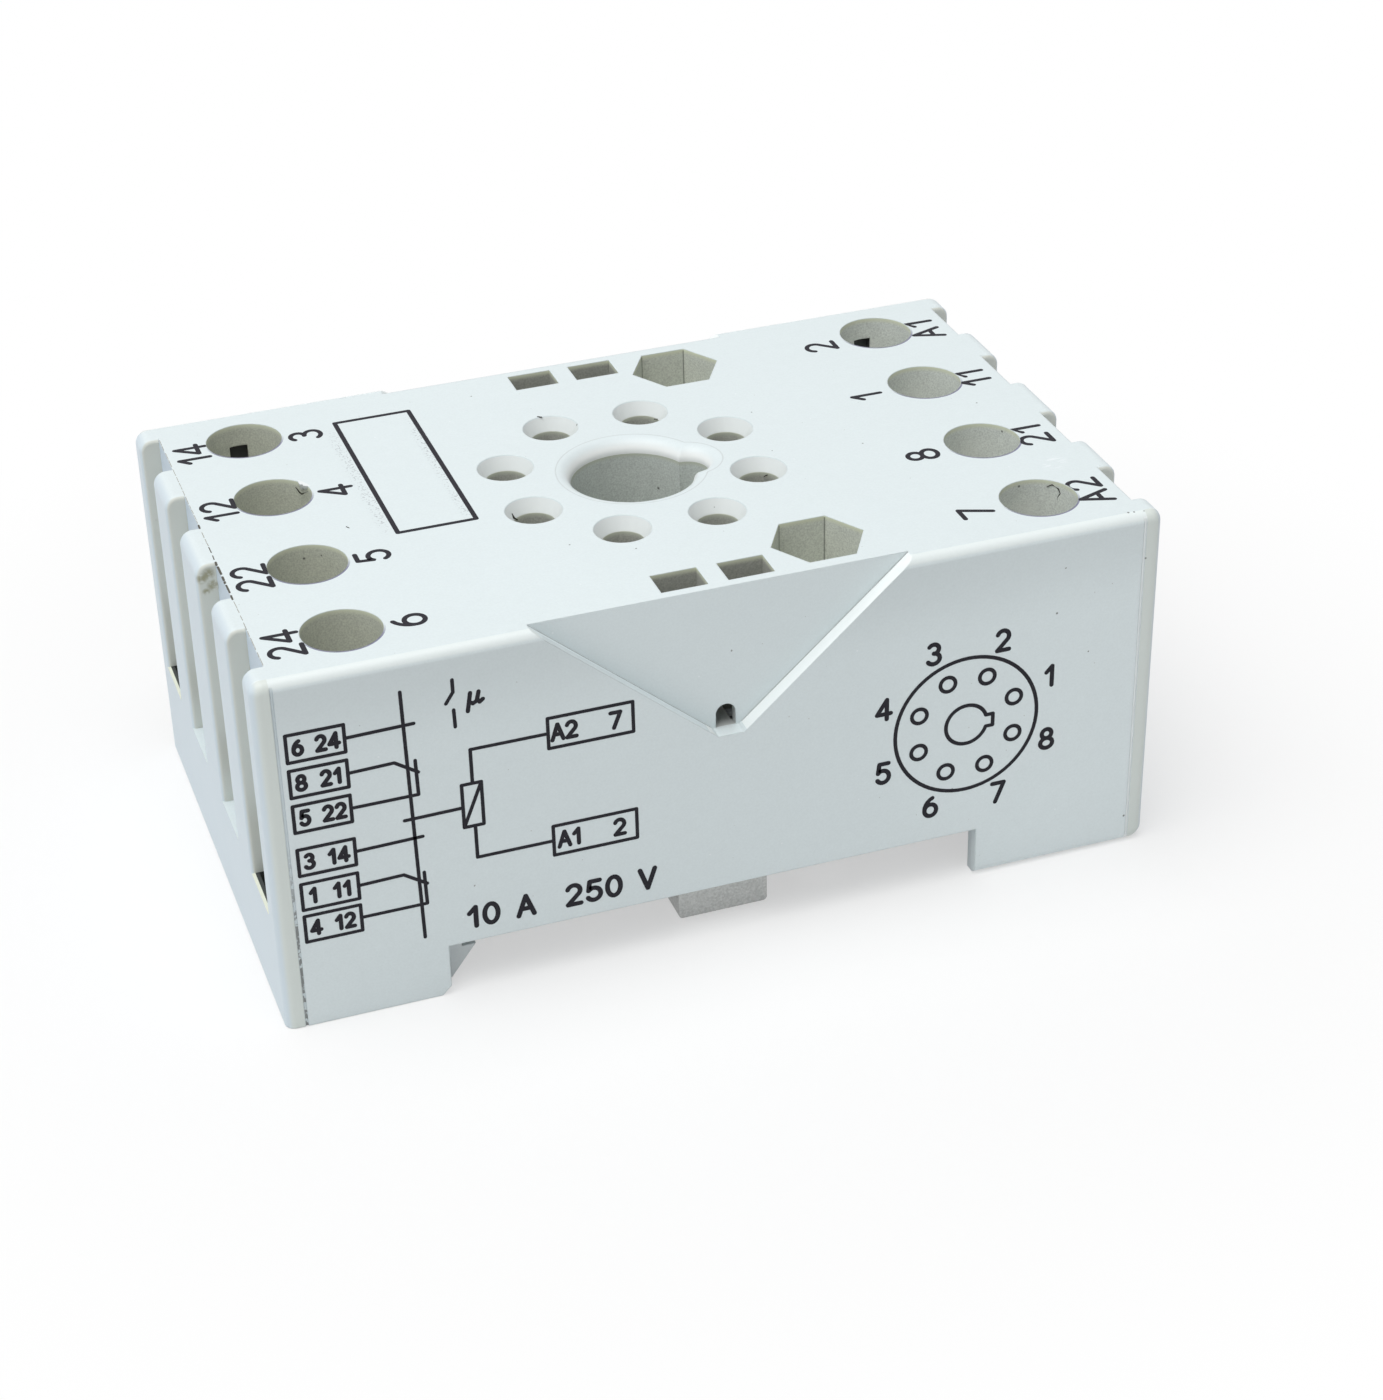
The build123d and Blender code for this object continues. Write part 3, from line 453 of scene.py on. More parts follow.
def end_tones(finish, base, x, y, z):
    """Painted light and shade on the recess ledges and near the ends: lit ledges with shaded edges, shaded
    corners and fin sides, bluish end faces, black pockets with lit rims, paler grooves, and dirty dots in
    one groove.
    """
    across, side = abs(x), abs(y)
    facing = finish.node("ShaderNodeTexCoord", out="Normal")
    facing_x, facing_y = (
        abs(finish.node("ShaderNodeSeparateXYZ", sockets=(facing,), out=axis)) for axis in "XY")
    # Painted highlight on the recess ledges right of the middle, and a painted shade line along the inner
    # edge of every ledge.
    ledge = (side > RECESS_Y) * (facing_y < TURNED[0]) * within(z, *RECESS_Z) * (across < RECESS_END)
    base = finish.coat(ledge * (x > RECESS_PALE), base, "ledge")
    base = finish.coat(ledge * (side < RECESS_LINE_Y), base, "ledge line")
    # Painted shade on the rounded corners at the ends of the long sides.
    base = finish.coat((side > STRIP_Y) * finish.step(across, *STRIP_X), base, "strip")
    # Painted shade on the sides of the fins, and painted bluish shading on the end faces and the slot
    # floors.
    past_floor = across > SLOT_FLOOR - 0.05
    fin = past_floor * (side < END_SIDE_Y) * finish.step(facing_y, *TURNED)
    base = finish.coat(fin, base, "fin side")
    base = finish.coat(past_floor * finish.step(facing_x, *TURNED), base, "end face")
    base = finish.coat(within(across, SLOT_FLOOR, 0.06) * (facing_x > 0.6), base, "slot floor")
    # Painted shade: the latch pockets in the outer slots are black, with a painted highlight along their
    # outer rims.
    pocket = within(across, SLOT_FLOOR + 0.55, 0.62) * within(side, *POCKET_Y)
    base = finish.coat(pocket * within(z, SLOT_FOOT - 0.6, 0.63), base, "pocket")
    rim = (across > SLOT_FLOOR + 1.17) * within(side, *POCKET_Y) * within(z, SLOT_FOOT, 0.03)
    base = finish.coat(rim, base, "pocket rim")
    # Painted light: the parting grooves are paler than their shade, more so to the right; the dark dots low
    # in the left groove are soiling.
    groove = within(across, *GROOVE_X) * within(side, *GROOVE_Y)
    base = finish.coat(groove * finish.step(x, -20, 20), base, "groove")
    dots = groove * (x < 0) * finish.step(15 - z, 0, 8) * finish.step(finish.noise(0.35, 2.0), 0.44, 0.52)
    return finish.coat(dots, base, "groove dirt")


def long_side_tones(finish, base, x, y, z):
    """The long sides: painted light towards the right, painted shade just below the top edge, and a painted
    highlight on its rounding.
    """
    front = (abs(y) > LONG_SIDE_Y) * (z < RIM_Z + 0.02)
    below_edge = finish.step(z, *SHADE_Z) * (1 - finish.step(z, *SHADE_END_Z))
    # Painted light towards the right end, and painted shade just below the top edge.
    base = finish.tint(base, 1 + front * (0.06 * finish.step(x, 2, 27) - 0.11 * below_edge))
    # Painted highlight on the rounding of the top edge.
    return finish.coat(front * finish.step(z, *ROUNDING_Z), base, "rounding")


def housing_stains(finish, base, settings):
    """Every tone that depends on the place: painted light and shade on the long sides, in the holes and at
    the ends, smeared print beside the label frame, stains, spots, and painted shade in the reliefs and the
    window.
    """
    x, y, z = (finish.along(axis) for axis in "XYZ")
    base = long_side_tones(finish, base, x, y, z)
    base = hole_lining(finish, base, x, y, z, settings)
    base = end_tones(finish, base, x, y, z)
    top = z > RIM_Z - 0.07
    for line in SMEAR_LINES:
        beside = 1 - finish.step(abs(x - line), *SMEAR_FADE)
        length = finish.step(y, *SMEAR_ENDS[0]) * (1 - finish.step(y, *SMEAR_ENDS[1]))
        dots = finish.step(finish.noise(0.16, 2.0), 0.54, 0.66)
        base = finish.coat(top * beside * length * dots, base, "smear")
    for place, reach in OLIVE_STAINS:
        smudge = finish.near(place, reach) * finish.step(finish.noise(0.34, 3.0), 0.28, 0.58)
        base = finish.coat(smudge, base, "olive stain")
    scratches = finish.step(finish.noise(0.3, 3.0, (0.4, 2.0, 1)), 0.5, 0.62)
    base = finish.coat(finish.near(SCUFF, SCUFF_REACH) * scratches, base, "scuff")
    for place, reach in DARK_SPOTS:
        base = finish.coat(finish.near(place, reach), base, "dark spot")
    # Painted shade: black in the relief openings of the bores, and grey in the window of the recess.
    across, side = abs(x), abs(y)
    relief = within(across, *RELIEF_X) * within(side, *RELIEF_Y) * (z < RELIEF_Z)
    base = finish.coat(relief, base, "relief")
    window = within(x, *WINDOW_X) * within(side, *WINDOW_Y) * within(z, *WINDOW_Z)
    return finish.coat(window, base, "window")


# Colour of dull zinc; colours and share of the painted shade in the hollows of steel and brass; radii of
# soft edges; tone of thin ink.
DULL_ZINC, STEEL_HOLLOW_SHADE, BRASS_HOLLOW_SHADE = (0.42, 0.42, 0.40), (0.10, 0.09, 0.075), (0.10, 0.08, 0.05)
METAL_HOLLOW_SHADE, METAL_EDGE, STRIP_EDGE, THIN_INK = 0.5, 0.08 * MM, 0.06 * MM, (0.5, 0.5, 0.5)


def plated_steel(name, colour, lines, rolled=(1, 1, 1), rough=0.34, dull=0.25):
    """Zinc plate over rolled sheet or turned stock: fine lines, cloudy tone and dull spots."""
    finish = Finish(name)
    rolled_lines = finish.noise(lines, 3.0, rolled)
    cloud = finish.noise(1.4, 4.0)
    spots = finish.step(finish.noise(0.45, 4.0), 0.56, 0.72)
    tone = 0.92 + 0.12 * cloud + 0.08 * rolled_lines
    base = finish.tint(tuple(colour), tone + 0.75 * (finish.noise(0.14, 2.0) - 0.5))
    base = finish.mix(spots * dull, base, DULL_ZINC)
    # Painted shade: the hollows that ambient occlusion finds are darkened.
    darkening = finish.step(finish.hollows(0.8 * MM), 0.3, 1.0)
    base = finish.mix(darkening * METAL_HOLLOW_SHADE, base, STEEL_HOLLOW_SHADE)
    roughness = rough + 0.16 * (rolled_lines - 0.5) + 0.18 * spots
    normal = finish.bump(rolled_lines + 0.4 * cloud, 3 * MICRON, 0.6, METAL_EDGE)
    return finish.surface(base, roughness, normal, 1.0)


def spring_wire(name, colour):
    """Drawn wire with fine lengthwise lines."""
    finish = Finish(name)
    drawn = finish.noise(0.06, 3.0, (1, 1, 3))
    base = finish.tint(tuple(colour), 0.85 + 0.3 * finish.noise(0.7, 3.0))
    normal = finish.bump(drawn, 2 * MICRON, 0.5)
    return finish.surface(base, 0.26 + 0.14 * drawn, normal, 1.0)


def tinned_brass(name, brass, tin):
    """Stamped brass under a thin plating that has worn through here and there."""
    finish = Finish(name)
    worn = finish.step(finish.noise(0.8, 5.0), 0.48, 0.62)
    base = finish.mix(worn, tuple(tin), tuple(brass))
    # Painted shade: the hollows that ambient occlusion finds are darkened.
    base = finish.mix(finish.hollows(0.6 * MM) * METAL_HOLLOW_SHADE, base, BRASS_HOLLOW_SHADE)
    roll = finish.noise(0.09, 3.0, (1, 6, 1))
    normal = finish.bump(roll, 3 * MICRON, 0.5, STRIP_EDGE)
    return finish.surface(base, 0.30 + 0.2 * roll + 0.12 * worn, normal, 1.0)


def printed_ink(name, colour):
    """Pad-printed ink: thin here and there, so that its tone is uneven."""
    finish = Finish(name)
    thin = finish.step(finish.noise(0.22, 4.0), 0.58, 0.80)
    base = finish.mix(thin * 0.06, tuple(colour), THIN_INK)
    normal = finish.bump(finish.noise(0.08, 2.0), 2 * MICRON, 0.5)
    return finish.surface(base, 0.60 + 0.2 * thin, normal, specular=0.12)


def paint(obj, material):
    """Give an object one material in every slot."""
    obj.data.materials.clear()
    obj.data.materials.append(material)


def arc(cx, cy, rx, ry, start, end, step=15):
    """Points on an elliptic arc between two angles in degrees, a step of degrees apart."""
    count = max(3, math.ceil(abs(end - start) / step))
    angles = [math.radians(start + (end - start) * k / count) for k in range(count + 1)]
    return [(cx + rx * math.cos(a), cy + ry * math.sin(a)) for a in angles]


def box_path(x0, x1, y0, y1):
    """Closed outline of a rectangle."""
    return [(x0, y0), (x1, y0), (x1, y1), (x0, y1), (x0, y0)]


GLYPHS = {
    "0": [arc(0.30, 0.50, 0.29, 0.50, 0, 360)],
    "1": [[(0.06, 0.70), (0.34, 1.0), (0.34, 0.0)]],
    "2": [arc(0.30, 0.71, 0.28, 0.29, 160, -35) + [(0.02, 0.0), (0.60, 0.0)]],
    "3": [arc(0.28, 0.76, 0.25, 0.24, 145, -80), arc(0.28, 0.27, 0.30, 0.27, 88, -150)],
    "4": [[(0.47, 0.0), (0.47, 1.0)], [(0.47, 1.0), (0.0, 0.28), (0.66, 0.28)]],
    "5": [[(0.56, 1.0), (0.12, 1.0), (0.06, 0.52)] + arc(0.29, 0.32, 0.30, 0.32, 125, -150)],
    "6": [arc(0.30, 0.31, 0.29, 0.31, 0, 360), arc(0.62, 0.36, 0.61, 0.64, 178, 112)],
    "7": [[(0.02, 1.0), (0.60, 1.0), (0.20, 0.0)]],
    "8": [arc(0.30, 0.76, 0.24, 0.24, 0, 360), arc(0.30, 0.26, 0.30, 0.26, 0, 360)],
    "A": [[(0.0, 0.0), (0.34, 1.0), (0.68, 0.0)], [(0.12, 0.34), (0.56, 0.34)]],
    "V": [[(0.0, 1.0), (0.33, 0.0), (0.66, 1.0)]],
}
GLYPH_WIDTHS = {"1": 0.42, "A": 0.68, "V": 0.66, " ": 0.30, "4": 0.66}
GLYPH_WIDTH = 0.60


def line_of_text(text, height, gap=0.26, broad=1.0):
    """Strokes of a line of text, with its baseline starting at 0, 0, and its length."""
    strokes = []
    pen = 0.0
    for mark in text:
        for stroke in GLYPHS.get(mark, []):
            strokes.append([((pen + x * broad) * height, y * height) for x, y in stroke])
        pen += GLYPH_WIDTHS.get(mark, GLYPH_WIDTH) * broad + gap
    return strokes, (pen - gap) * height


def shifted(strokes, dx, dy):
    """Strokes moved in their plane."""
    return [[(x + dx, y + dy) for x, y in stroke] for stroke in strokes]


def centred(text, height, x, y, **options):
    """Strokes of a line of text whose middle is at x, y."""
    strokes, length = line_of_text(text, height, **options)
    return shifted(strokes, x - length / 2, y - height / 2)


# Degrees of the points that round a stroke's end, and of a turn that gets a round join.
END_TURNS, SHARP_TURN = (0, 30, 60, 85), 35
JOIN_STEPS, LEAST_MITRE, TOUCHING = 5, 0.2, 1e-7


def stroke_rim(points, half):
    """Pairs of points left and right of a stroke, with round joins at sharp turns and round ends."""
    points = [Vector(p) for p in points]
    closed = (points[0] - points[-1]).length < TOUCHING
    if closed:
        points = points[:-1]
    count = len(points)
    pairs = []
    for i, point in enumerate(points):
        into = (point - points[i - 1]).normalized() if closed or i else None
        onward = (points[(i + 1) % count] - point).normalized() if closed or i < count - 1 else None
        if into is None or onward is None:
            run = onward if into is None else into
            side = Vector((-run.y, run.x)) * half
            back = -run if into is None else run
            for degrees in END_TURNS[::-1] if into is None else END_TURNS:
                turn = math.radians(degrees)
                middle = point + back * half * math.sin(turn)
                pairs.append((middle + side * math.cos(turn), middle - side * math.cos(turn)))
            continue
        turn = into.angle_signed(onward)
        left_in = Vector((-into.y, into.x))
        left_out = Vector((-onward.y, onward.x))
        mitre = (left_in + left_out).normalized()
        reach = half / max(mitre.dot(left_in), LEAST_MITRE)
        inner = mitre * reach
        if abs(turn) < math.radians(SHARP_TURN):
            pairs.append((point + inner, point - inner))
            continue
        for k in range(JOIN_STEPS + 1):
            side = left_in.lerp(left_out, k / JOIN_STEPS).normalized() * half
            pairs.append((point + side, point - inner) if turn > 0 else (point + inner, point - side))
    return pairs, closed


# A printed face: a point on it, the direction of its lines of print, and their up.
TOP = ((0, 0, body_high.z), (1, 0, 0), (0, 1, 0))
TOP_TURNED = ((0, 0, body_high.z), (0, 1, 0), (-1, 0, 0))
FRONT = ((0, body_low.y, 0), (1, 0, 0), (0, 0, 1))
# Strokes in a row lie at uneven heights, in shares of the film, so that no two crossing faces coincide.
LIFT, LIFTS = 0.15, 4


def ink_piece(name, strokes, width, face, material, holes=()):
    """A printed piece: each stroke is a thin closed film on a face of the body, cut off at any holes."""
    film = bpy.context.scene.socket_print.film
    origin, across, up = (Vector(v) for v in face)
    out = across.cross(up)
    sink = 2 * film
    mesh = bmesh.new()
    for number, stroke in enumerate(strokes):
        pairs, closed = stroke_rim(stroke, width / 2)
        start = origin - out * (sink - LIFT * film * (number % LIFTS))
        rows = []
        for pair in pairs:
            spots = [start + across * p.x + up * p.y for p in pair]
            rows.append([mesh.verts.new(outside(s, holes)) for s in spots])
        links = list(zip(rows, rows[1:]))
        if closed:
            links.append((rows[-1], rows[0]))
        for (a, b), (c, d) in links:
            mesh.faces.new((b, d, c, a))
    bmesh.ops.remove_doubles(mesh, verts=mesh.verts, dist=TOUCHING / 10)
    raised = bmesh.ops.extrude_face_region(mesh, geom=mesh.faces[:], use_keep_orig=True)
    tops = [g for g in raised["geom"] if isinstance(g, bmesh.types.BMVert)]
    bmesh.ops.translate(mesh, verts=tops, vec=out * (sink + film))
    bmesh.ops.recalc_face_normals(mesh, faces=mesh.faces)
    return new_piece(name, mesh, material)


def outside(spot, holes):
    """The spot itself, or the nearest place on the rim of an upright hole that it lies in."""
    for centre, radius in holes:
        away = spot.xy - centre.xy
        if away.length < radius:
            return (centre.xy + away.normalized() * radius).to_3d() + Vector((0, 0, spot.z))
    return spot


def linked(name, data):
    """A new object of the scene."""
    made = bpy.data.objects.new(name, data)
    bpy.context.scene.collection.objects.link(made)
    return made


def mesh_object(name, mesh):
    """A new object made of a mesh in work."""
    data = bpy.data.meshes.new(name)
    mesh.to_mesh(data)
    mesh.free()
    return linked(name, data)


def new_piece(name, mesh, material, body="root"):
    """Turn a mesh in work into a piece that rides on a body."""
    piece = mesh_object(name, mesh)
    paint(piece, material)
    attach(piece, body)
    return piece


class SOCKET_OT_plastic(bpy.types.Operator):
    """Give the housing and the lower cover their moulded plastic"""

    bl_idname = "socket.plastic"
    bl_label = "Moulded Parts"

    def execute(self, context):
        settings = context.scene.socket_plastic
        housing = moulded_plastic("housing_plastic", settings.housing, settings, housing_stains)
        cover = moulded_plastic("cover_plastic", settings.cover, settings)
        paint(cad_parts["housing"], housing)
        paint(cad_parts["base_plate"], cover)
        return {"FINISHED"}


class SOCKET_OT_metal(bpy.types.Operator):
    """Give the clip, spring, contacts, cages and screws their metal"""

    bl_idname = "socket.metal"
    bl_label = "Metal Parts"

    def execute(self, context):
        settings = context.scene.socket_metal
        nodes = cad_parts
        paint(nodes["rail_clip"], plated_steel("clip_steel", settings.zinc, 0.12, (0.15, 1, 1)))
        paint(nodes["rail_spring"], spring_wire("spring_steel", settings.wire))
        contact = tinned_brass("contact_brass", settings.brass, settings.tin)
        cage = plated_steel("cage_steel", settings.zinc, 0.10, (0.2, 1, 1), 0.36)
        screw = plated_steel("screw_steel", settings.zinc, 0.07, (1, 1, 1), 0.28, 0.15)
        for pin in PINS:
            paint(nodes[f"contact_{pin}"], contact)
            paint(nodes[f"clamp_cage_{pin}"], cage)
            paint(nodes[f"terminal_screw_{pin}"], screw)
        return {"FINISHED"}


# Rows of numbers from the left end to the right one, each from the front to the back.
NUMBER_ROWS = (
    ("24", "22", "12", "14"), ("6", "5", "4", "3"), ("7", "8", "1", "2"), ("A2", "21", "11", "A1"))
# The numbers stand a little closer together than the terminals, and to one side of them.
NUMBER_SPREAD, NUMBER_SHIFT = 0.985, 0.62 * MM
INK_GAP, FRAME_STROKE = 0.02 * MM, 1.4


class SOCKET_OT_numbers(bpy.types.Operator):
    """Print the terminal and pin numbers and the bare label frame on the top face"""

    bl_idname = "socket.numbers"
    bl_label = "Numbers on Top"

    number_tops: FloatVectorProperty(
        name="Tops of the numbers", description="Where the four rows of numbers have their tops, along X",
        size=4, default=(-0.0289, -0.02085, 0.01822, 0.02647), subtype="TRANSLATION", precision=5)
    frame_from: FloatVectorProperty(
        name="Frame from", description="First corner of the label frame", size=2,
        default=(-0.0174, -0.0031), precision=5)
    frame_to: FloatVectorProperty(
        name="Frame to", description="Second corner of the label frame", size=2,
        default=(-0.0120, 0.0145), precision=5)
    bore: Length(
        name="Bore", description="Diameter of the access bores, at whose rims the ink ends", default=0.0053)

    def execute(self, context):
        settings = context.scene.socket_print
        ink = printed_ink("print_ink", settings.ink)
        height = settings.number_height
        middles = [node_middle(f"terminal_screw_{pin}") for pin in PINS]
        places = sorted(middle.y for middle in middles)[::2]
        holes = [(middle, self.bore / 2 + INK_GAP) for middle in middles]
        strokes = []
        for top, row in zip(self.number_tops, NUMBER_ROWS):
            for text, place in zip(row, places):
                middle = NUMBER_SPREAD * place - NUMBER_SHIFT
                strokes += centred(text, height, middle, height / 2 - (top + height))
        ink_piece("print_numbers", strokes, settings.number_stroke, TOP_TURNED, ink, holes)
        x0, y0 = self.frame_from
        x1, y1 = self.frame_to
        outline = [box_path(x0, x1, y0, y1)]
        ink_piece("print_label_frame", outline, FRAME_STROKE * settings.line, TOP, ink)
        return {"FINISHED"}


def node_middle(name):
    """Middle of a node of the frame."""
    low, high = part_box(name)
    return (low + high) / 2


DIAGRAM_STROKE = 0.285 * MM
RATING, RATING_HEIGHT, RATING_STROKE = "10 A  250 V", 1.5 * MM, 0.34 * MM
RATING_X, RATING_Z = -11.9 * MM, 5.75 * MM
PLAN_X, PLAN_Z, PLAN_LINE, PLAN_NUMBER_STROKE = 17.0 * MM, 12.6 * MM, 1.15, 0.32 * MM


class SOCKET_OT_diagram(bpy.types.Operator):
    """Print the contact diagram, the plain rating and the plan of the pins on the front face"""

    bl_idname = "socket.diagram"
    bl_label = "Contact Diagram"

    def execute(self, context):
        line = context.scene.socket_print.line
        ink = bpy.data.materials["print_ink"]
        lines, marks = (
            [[(x * MM, z * MM) for x, z in stroke] for stroke in strokes] for strokes in contact_diagram())
        rating = centred(RATING, RATING_HEIGHT, RATING_X, RATING_Z, gap=0.30, broad=1.05)
        rings, numbers = pin_diagram(PLAN_X, PLAN_Z)
        for name, strokes, width in (
            ("print_diagram", lines, line),
            ("print_diagram_numbers", marks, DIAGRAM_STROKE),
            ("print_rating", rating, RATING_STROKE),
            ("print_pin_diagram", rings, PLAN_LINE * line),
            ("print_pin_numbers", numbers, PLAN_NUMBER_STROKE),
        ):
            ink_piece(name, strokes, width, FRONT, ink)
        return {"FINISHED"}


def pin_diagram(x, z):
    """Plan of the pin ring round its keyed centre, with the pins' numbers outside."""
    rim, ring, hole, centre, key, away, height = (r * MM for r in (5.2, 3.75, 0.55, 1.5, 0.45, 6.55, 1.5))
    rings = [arc(x, z, rim, rim, 0, 360, 5)]
    opening = math.degrees(math.asin(key / centre))
    keyed = arc(x, z, centre, centre, opening, 360 - opening, 8)
    notch = x + centre + key
    rings.append(keyed + [(notch, z - key), (notch, z + key), keyed[0]])
    numbers = []
    for pin in PINS:
        angle = math.radians(45 * (pin - 0.5))
        run, rise = math.cos(angle), math.sin(angle)
        rings.append(arc(x + ring * run, z + ring * rise, hole, hole, 0, 360))
        numbers += centred(str(pin), height, x + away * run, z + away * rise)
    return rings, numbers


def contact_diagram():
    """Lines and numbers of two changeover contacts and a coil, in millimetres on the front face."""
    box_left, box_right, box_half, small, large = -29.1, -25.4, 1.0, 1.02, 1.14
    rows = [
        ("6 24", 21.28), ("8 21", 18.68), ("5 22", 16.06), ("3 14", 12.76), ("1 11", 10.12), ("4 12", 7.62)]
    lines = []
    marks = []
    for text, z in rows:
        lines.append(box_path(box_left, box_right, z - box_half, z + box_half))
        pin, terminal = text.split()
        marks += centred(pin, small, box_left + 0.72, z, broad=0.9)
        marks += centred(terminal, small, box_right - 1.08, z, broad=0.9)
    shaft_x, shaft_lean, shaft_top, shaft_foot = -21.5, 0.17, 23.8, 5.0
    lines.append([(shaft_x - shaft_lean, shaft_top), (shaft_x + shaft_lean, shaft_foot)])
    rest_x, pivot_x, tip_x, stop_x, rise = -20.95, -22.4, -20.9, -21.0, 0.08
    for (_, open_z), (_, common_z), (_, closed_z) in (rows[:3], rows[3:]):
        lines.append([(box_right, open_z), (rest_x, open_z + rise)])
        lines.append([(box_right, common_z), (pivot_x, common_z + rise), (tip_x, common_z - 0.95)])
        lines.append([(stop_x - 0.05, common_z - 0.05), (stop_x, closed_z), (box_right, closed_z)])
    coil_left, coil_right, coil_low, coil_high, coil_x = -18.18, -16.87, 12.83, 16.06, -17.45
    lines.append(box_path(coil_left, coil_right, coil_low, coil_high))
    lines.append([(coil_right, coil_high), (coil_left, coil_low)])
    lines.append([(coil_left, 14.35), (-22.05, 14.3)])
    label_left, label_right, label_half = -12.28, -6.55, 1.13
    for text, pin, z, edge in (("A2", "7", 18.6, coil_high), ("A1", "2", 10.35, coil_low)):
        lines.append([(coil_x, edge), (coil_x, z), (label_left, z)])
        lines.append(box_path(label_left, label_right, z - label_half, z + label_half))
        marks += centred(text, large, label_left + 1.08, z, gap=0.2, broad=0.95)
        marks += centred(pin, large, label_right - 1.2, z)
    # The small sign above the coil: a broken upright line and a hooked mark beside it.
    lines.append([(-18.3, 23.95), (-18.3, 23.05), (-18.8, 22.3)])
    lines.append([(-18.33, 21.75), (-18.3, 20.5)])
    marks.append([(-17.42, 21.45), (-17.2, 22.75)])
    marks.append([(-17.3, 22.1), (-17.05, 21.95), (-16.8, 22.1), (-16.65, 22.75)])
    marks.append([(-16.78, 22.2), (-16.62, 21.98), (-16.4, 22.15)])
    return lines, marks


# Points along each fibre or crumb, and its radius, in millimetres.
LINT = (
    ([(25.6, -12.2, 25.7), (25.9, -12.4, 25.9), (26.2, -12.8, 25.7), (26.3, -12.9, 25.4),
      (26.2, -12.7, 25.0), (26.25, -12.8, 24.6)], 0.05),
    ([(-9.3, -2.2, 25.6), (-9.25, -2.35, 25.35), (-8.95, -2.3, 25.1)], 0.12),
    ([(-3.7, 10.1, 26.22), (-3.4, 9.9, 26.21)], 0.09),
    ([(4.5, 8.5, 25.25), (4.9, 8.4, 25.2)], 0.08),
    ([(8.8, -2.35, 25.0), (9.1, -2.3, 25.05)], 0.08),
    ([(-20.4, -1.0, 26.22), (-20.25, -1.25, 26.21)], 0.06),
    ([(-21.5, 5.6, 25.85), (-21.85, 5.9, 25.6), (-21.92, 6.25, 25.55), (-22.1, 6.65, 25.8)], 0.055),
)
# Ends along Y and width of each line of dirt at the left slots; a narrow one is only a trace.
EDGE_DIRT = (((2.9, 2.2), 0.12), ((-2.6, -5.6), 0.15), ((-5.9, -7.9), 0.12), ((-0.4, -2.2), 0.07),
             ((16.5, 3.2), 0.035), ((1.8, -0.2), 0.045), ((-8.2, -16.7), 0.04))
SLOT_EDGE_X, TRACE_WIDTH, DIRT_SEED = -29.56 * MM, 0.06, 4
LINT_COLOUR, DIRT_COLOUR, TRACE_COLOUR = (0.03, 0.028, 0.022), (0.10, 0.095, 0.08), (0.34, 0.33, 0.29)
DASH_LENGTH, DASH_SWAY, DASH_GAP, SHORTEST_DASH = (0.3, 1.1), 0.02, (0.1, 0.5), 0.1 * MM
FIBRE_SIDES, FIBRE_TIP = 6, 0.45


class SOCKET_OT_wear(bpy.types.Operator):
    """Add the lint and crumbs in the holes, the dirt along the left slots and the burr of one bore"""

    bl_idname = "socket.wear"
    bl_label = "Wear"

    def execute(self, context):
        dark = printed_ink("lint", LINT_COLOUR)
        mesh = bmesh.new()
        for points, radius in LINT:
            add_fibre(mesh, [Vector(p) * MM for p in points], radius * MM)
        new_piece("lint", mesh, dark)
        darkening = printed_ink("edge_dirt", DIRT_COLOUR)
        trace = printed_ink("edge_trace", TRACE_COLOUR)
        rng = random.Random(DIRT_SEED)
        for number, ((start, end), width) in enumerate(EDGE_DIRT):
            strokes = dashes(start * MM, end * MM, SLOT_EDGE_X, rng)
            material = darkening if width > TRACE_WIDTH else trace
            ink_piece(f"edge_dirt_{number}", strokes, width * MM, TOP, material)
        new_piece("bore_burr", bore_burr(), bpy.data.materials["housing_plastic"])
        return {"FINISHED"}


def dashes(start, end, x, rng):
    """Broken line along Y with dashes of uneven length."""
    strokes = []
    place = start
    way = math.copysign(1, end - start)
    while (end - place) * way > 0:
        length = rng.uniform(*DASH_LENGTH) * MM
        stop = place + way * min(length, abs(end - place))
        strokes.append([(x, place), (x + rng.uniform(-DASH_SWAY, DASH_SWAY) * MM, stop)])
        place = stop + way * rng.uniform(*DASH_GAP) * MM
    return [s for s in strokes if math.dist(*s) > SHORTEST_DASH]


def add_fibre(mesh, points, radius):
    """Add a closed fibre through points, thinner at its ends."""
    rings = []
    last = len(points) - 1
    for i, point in enumerate(points):
        run = (points[min(i + 1, last)] - points[max(i - 1, 0)]).normalized()
        side = run.orthogonal().normalized()
        other = run.cross(side)
        girth = radius * (FIBRE_TIP if i in (0, last) else 1.0)
        turns = [2 * math.pi * k / FIBRE_SIDES for k in range(FIBRE_SIDES)]
        rings.append([point + (side * math.cos(t) + other * math.sin(t)) * girth for t in turns])
    skin(mesh, rings)


def skin(mesh, rings):
    """Add the closed skin that joins rings of points one after the other."""
    rings = [[mesh.verts.new(spot) for spot in ring] for ring in rings]
    count = len(rings[0])
    for a, b in zip(rings, rings[1:]):
        for k in range(count):
            mesh.faces.new((a[k], a[(k + 1) % count], b[(k + 1) % count], b[k]))
    mesh.faces.new(rings[0][::-1])
    mesh.faces.new(rings[-1])


BURR_RADIUS, BURR_FROM, BURR_SPREAD, BURR_LIFT = 2.68, 13, 26, 0.02
# How far the burr stands in from the rim and hangs down, in millimetres, along its run.
BURR_REACHES = (0.0, 0.16, 0.24, 0.17, 0.30, 0.22, 0.10, 0.0)
BURR_DROPS = (0.05, 0.2, 0.35, 0.28, 0.42, 0.30, 0.2, 0.05)


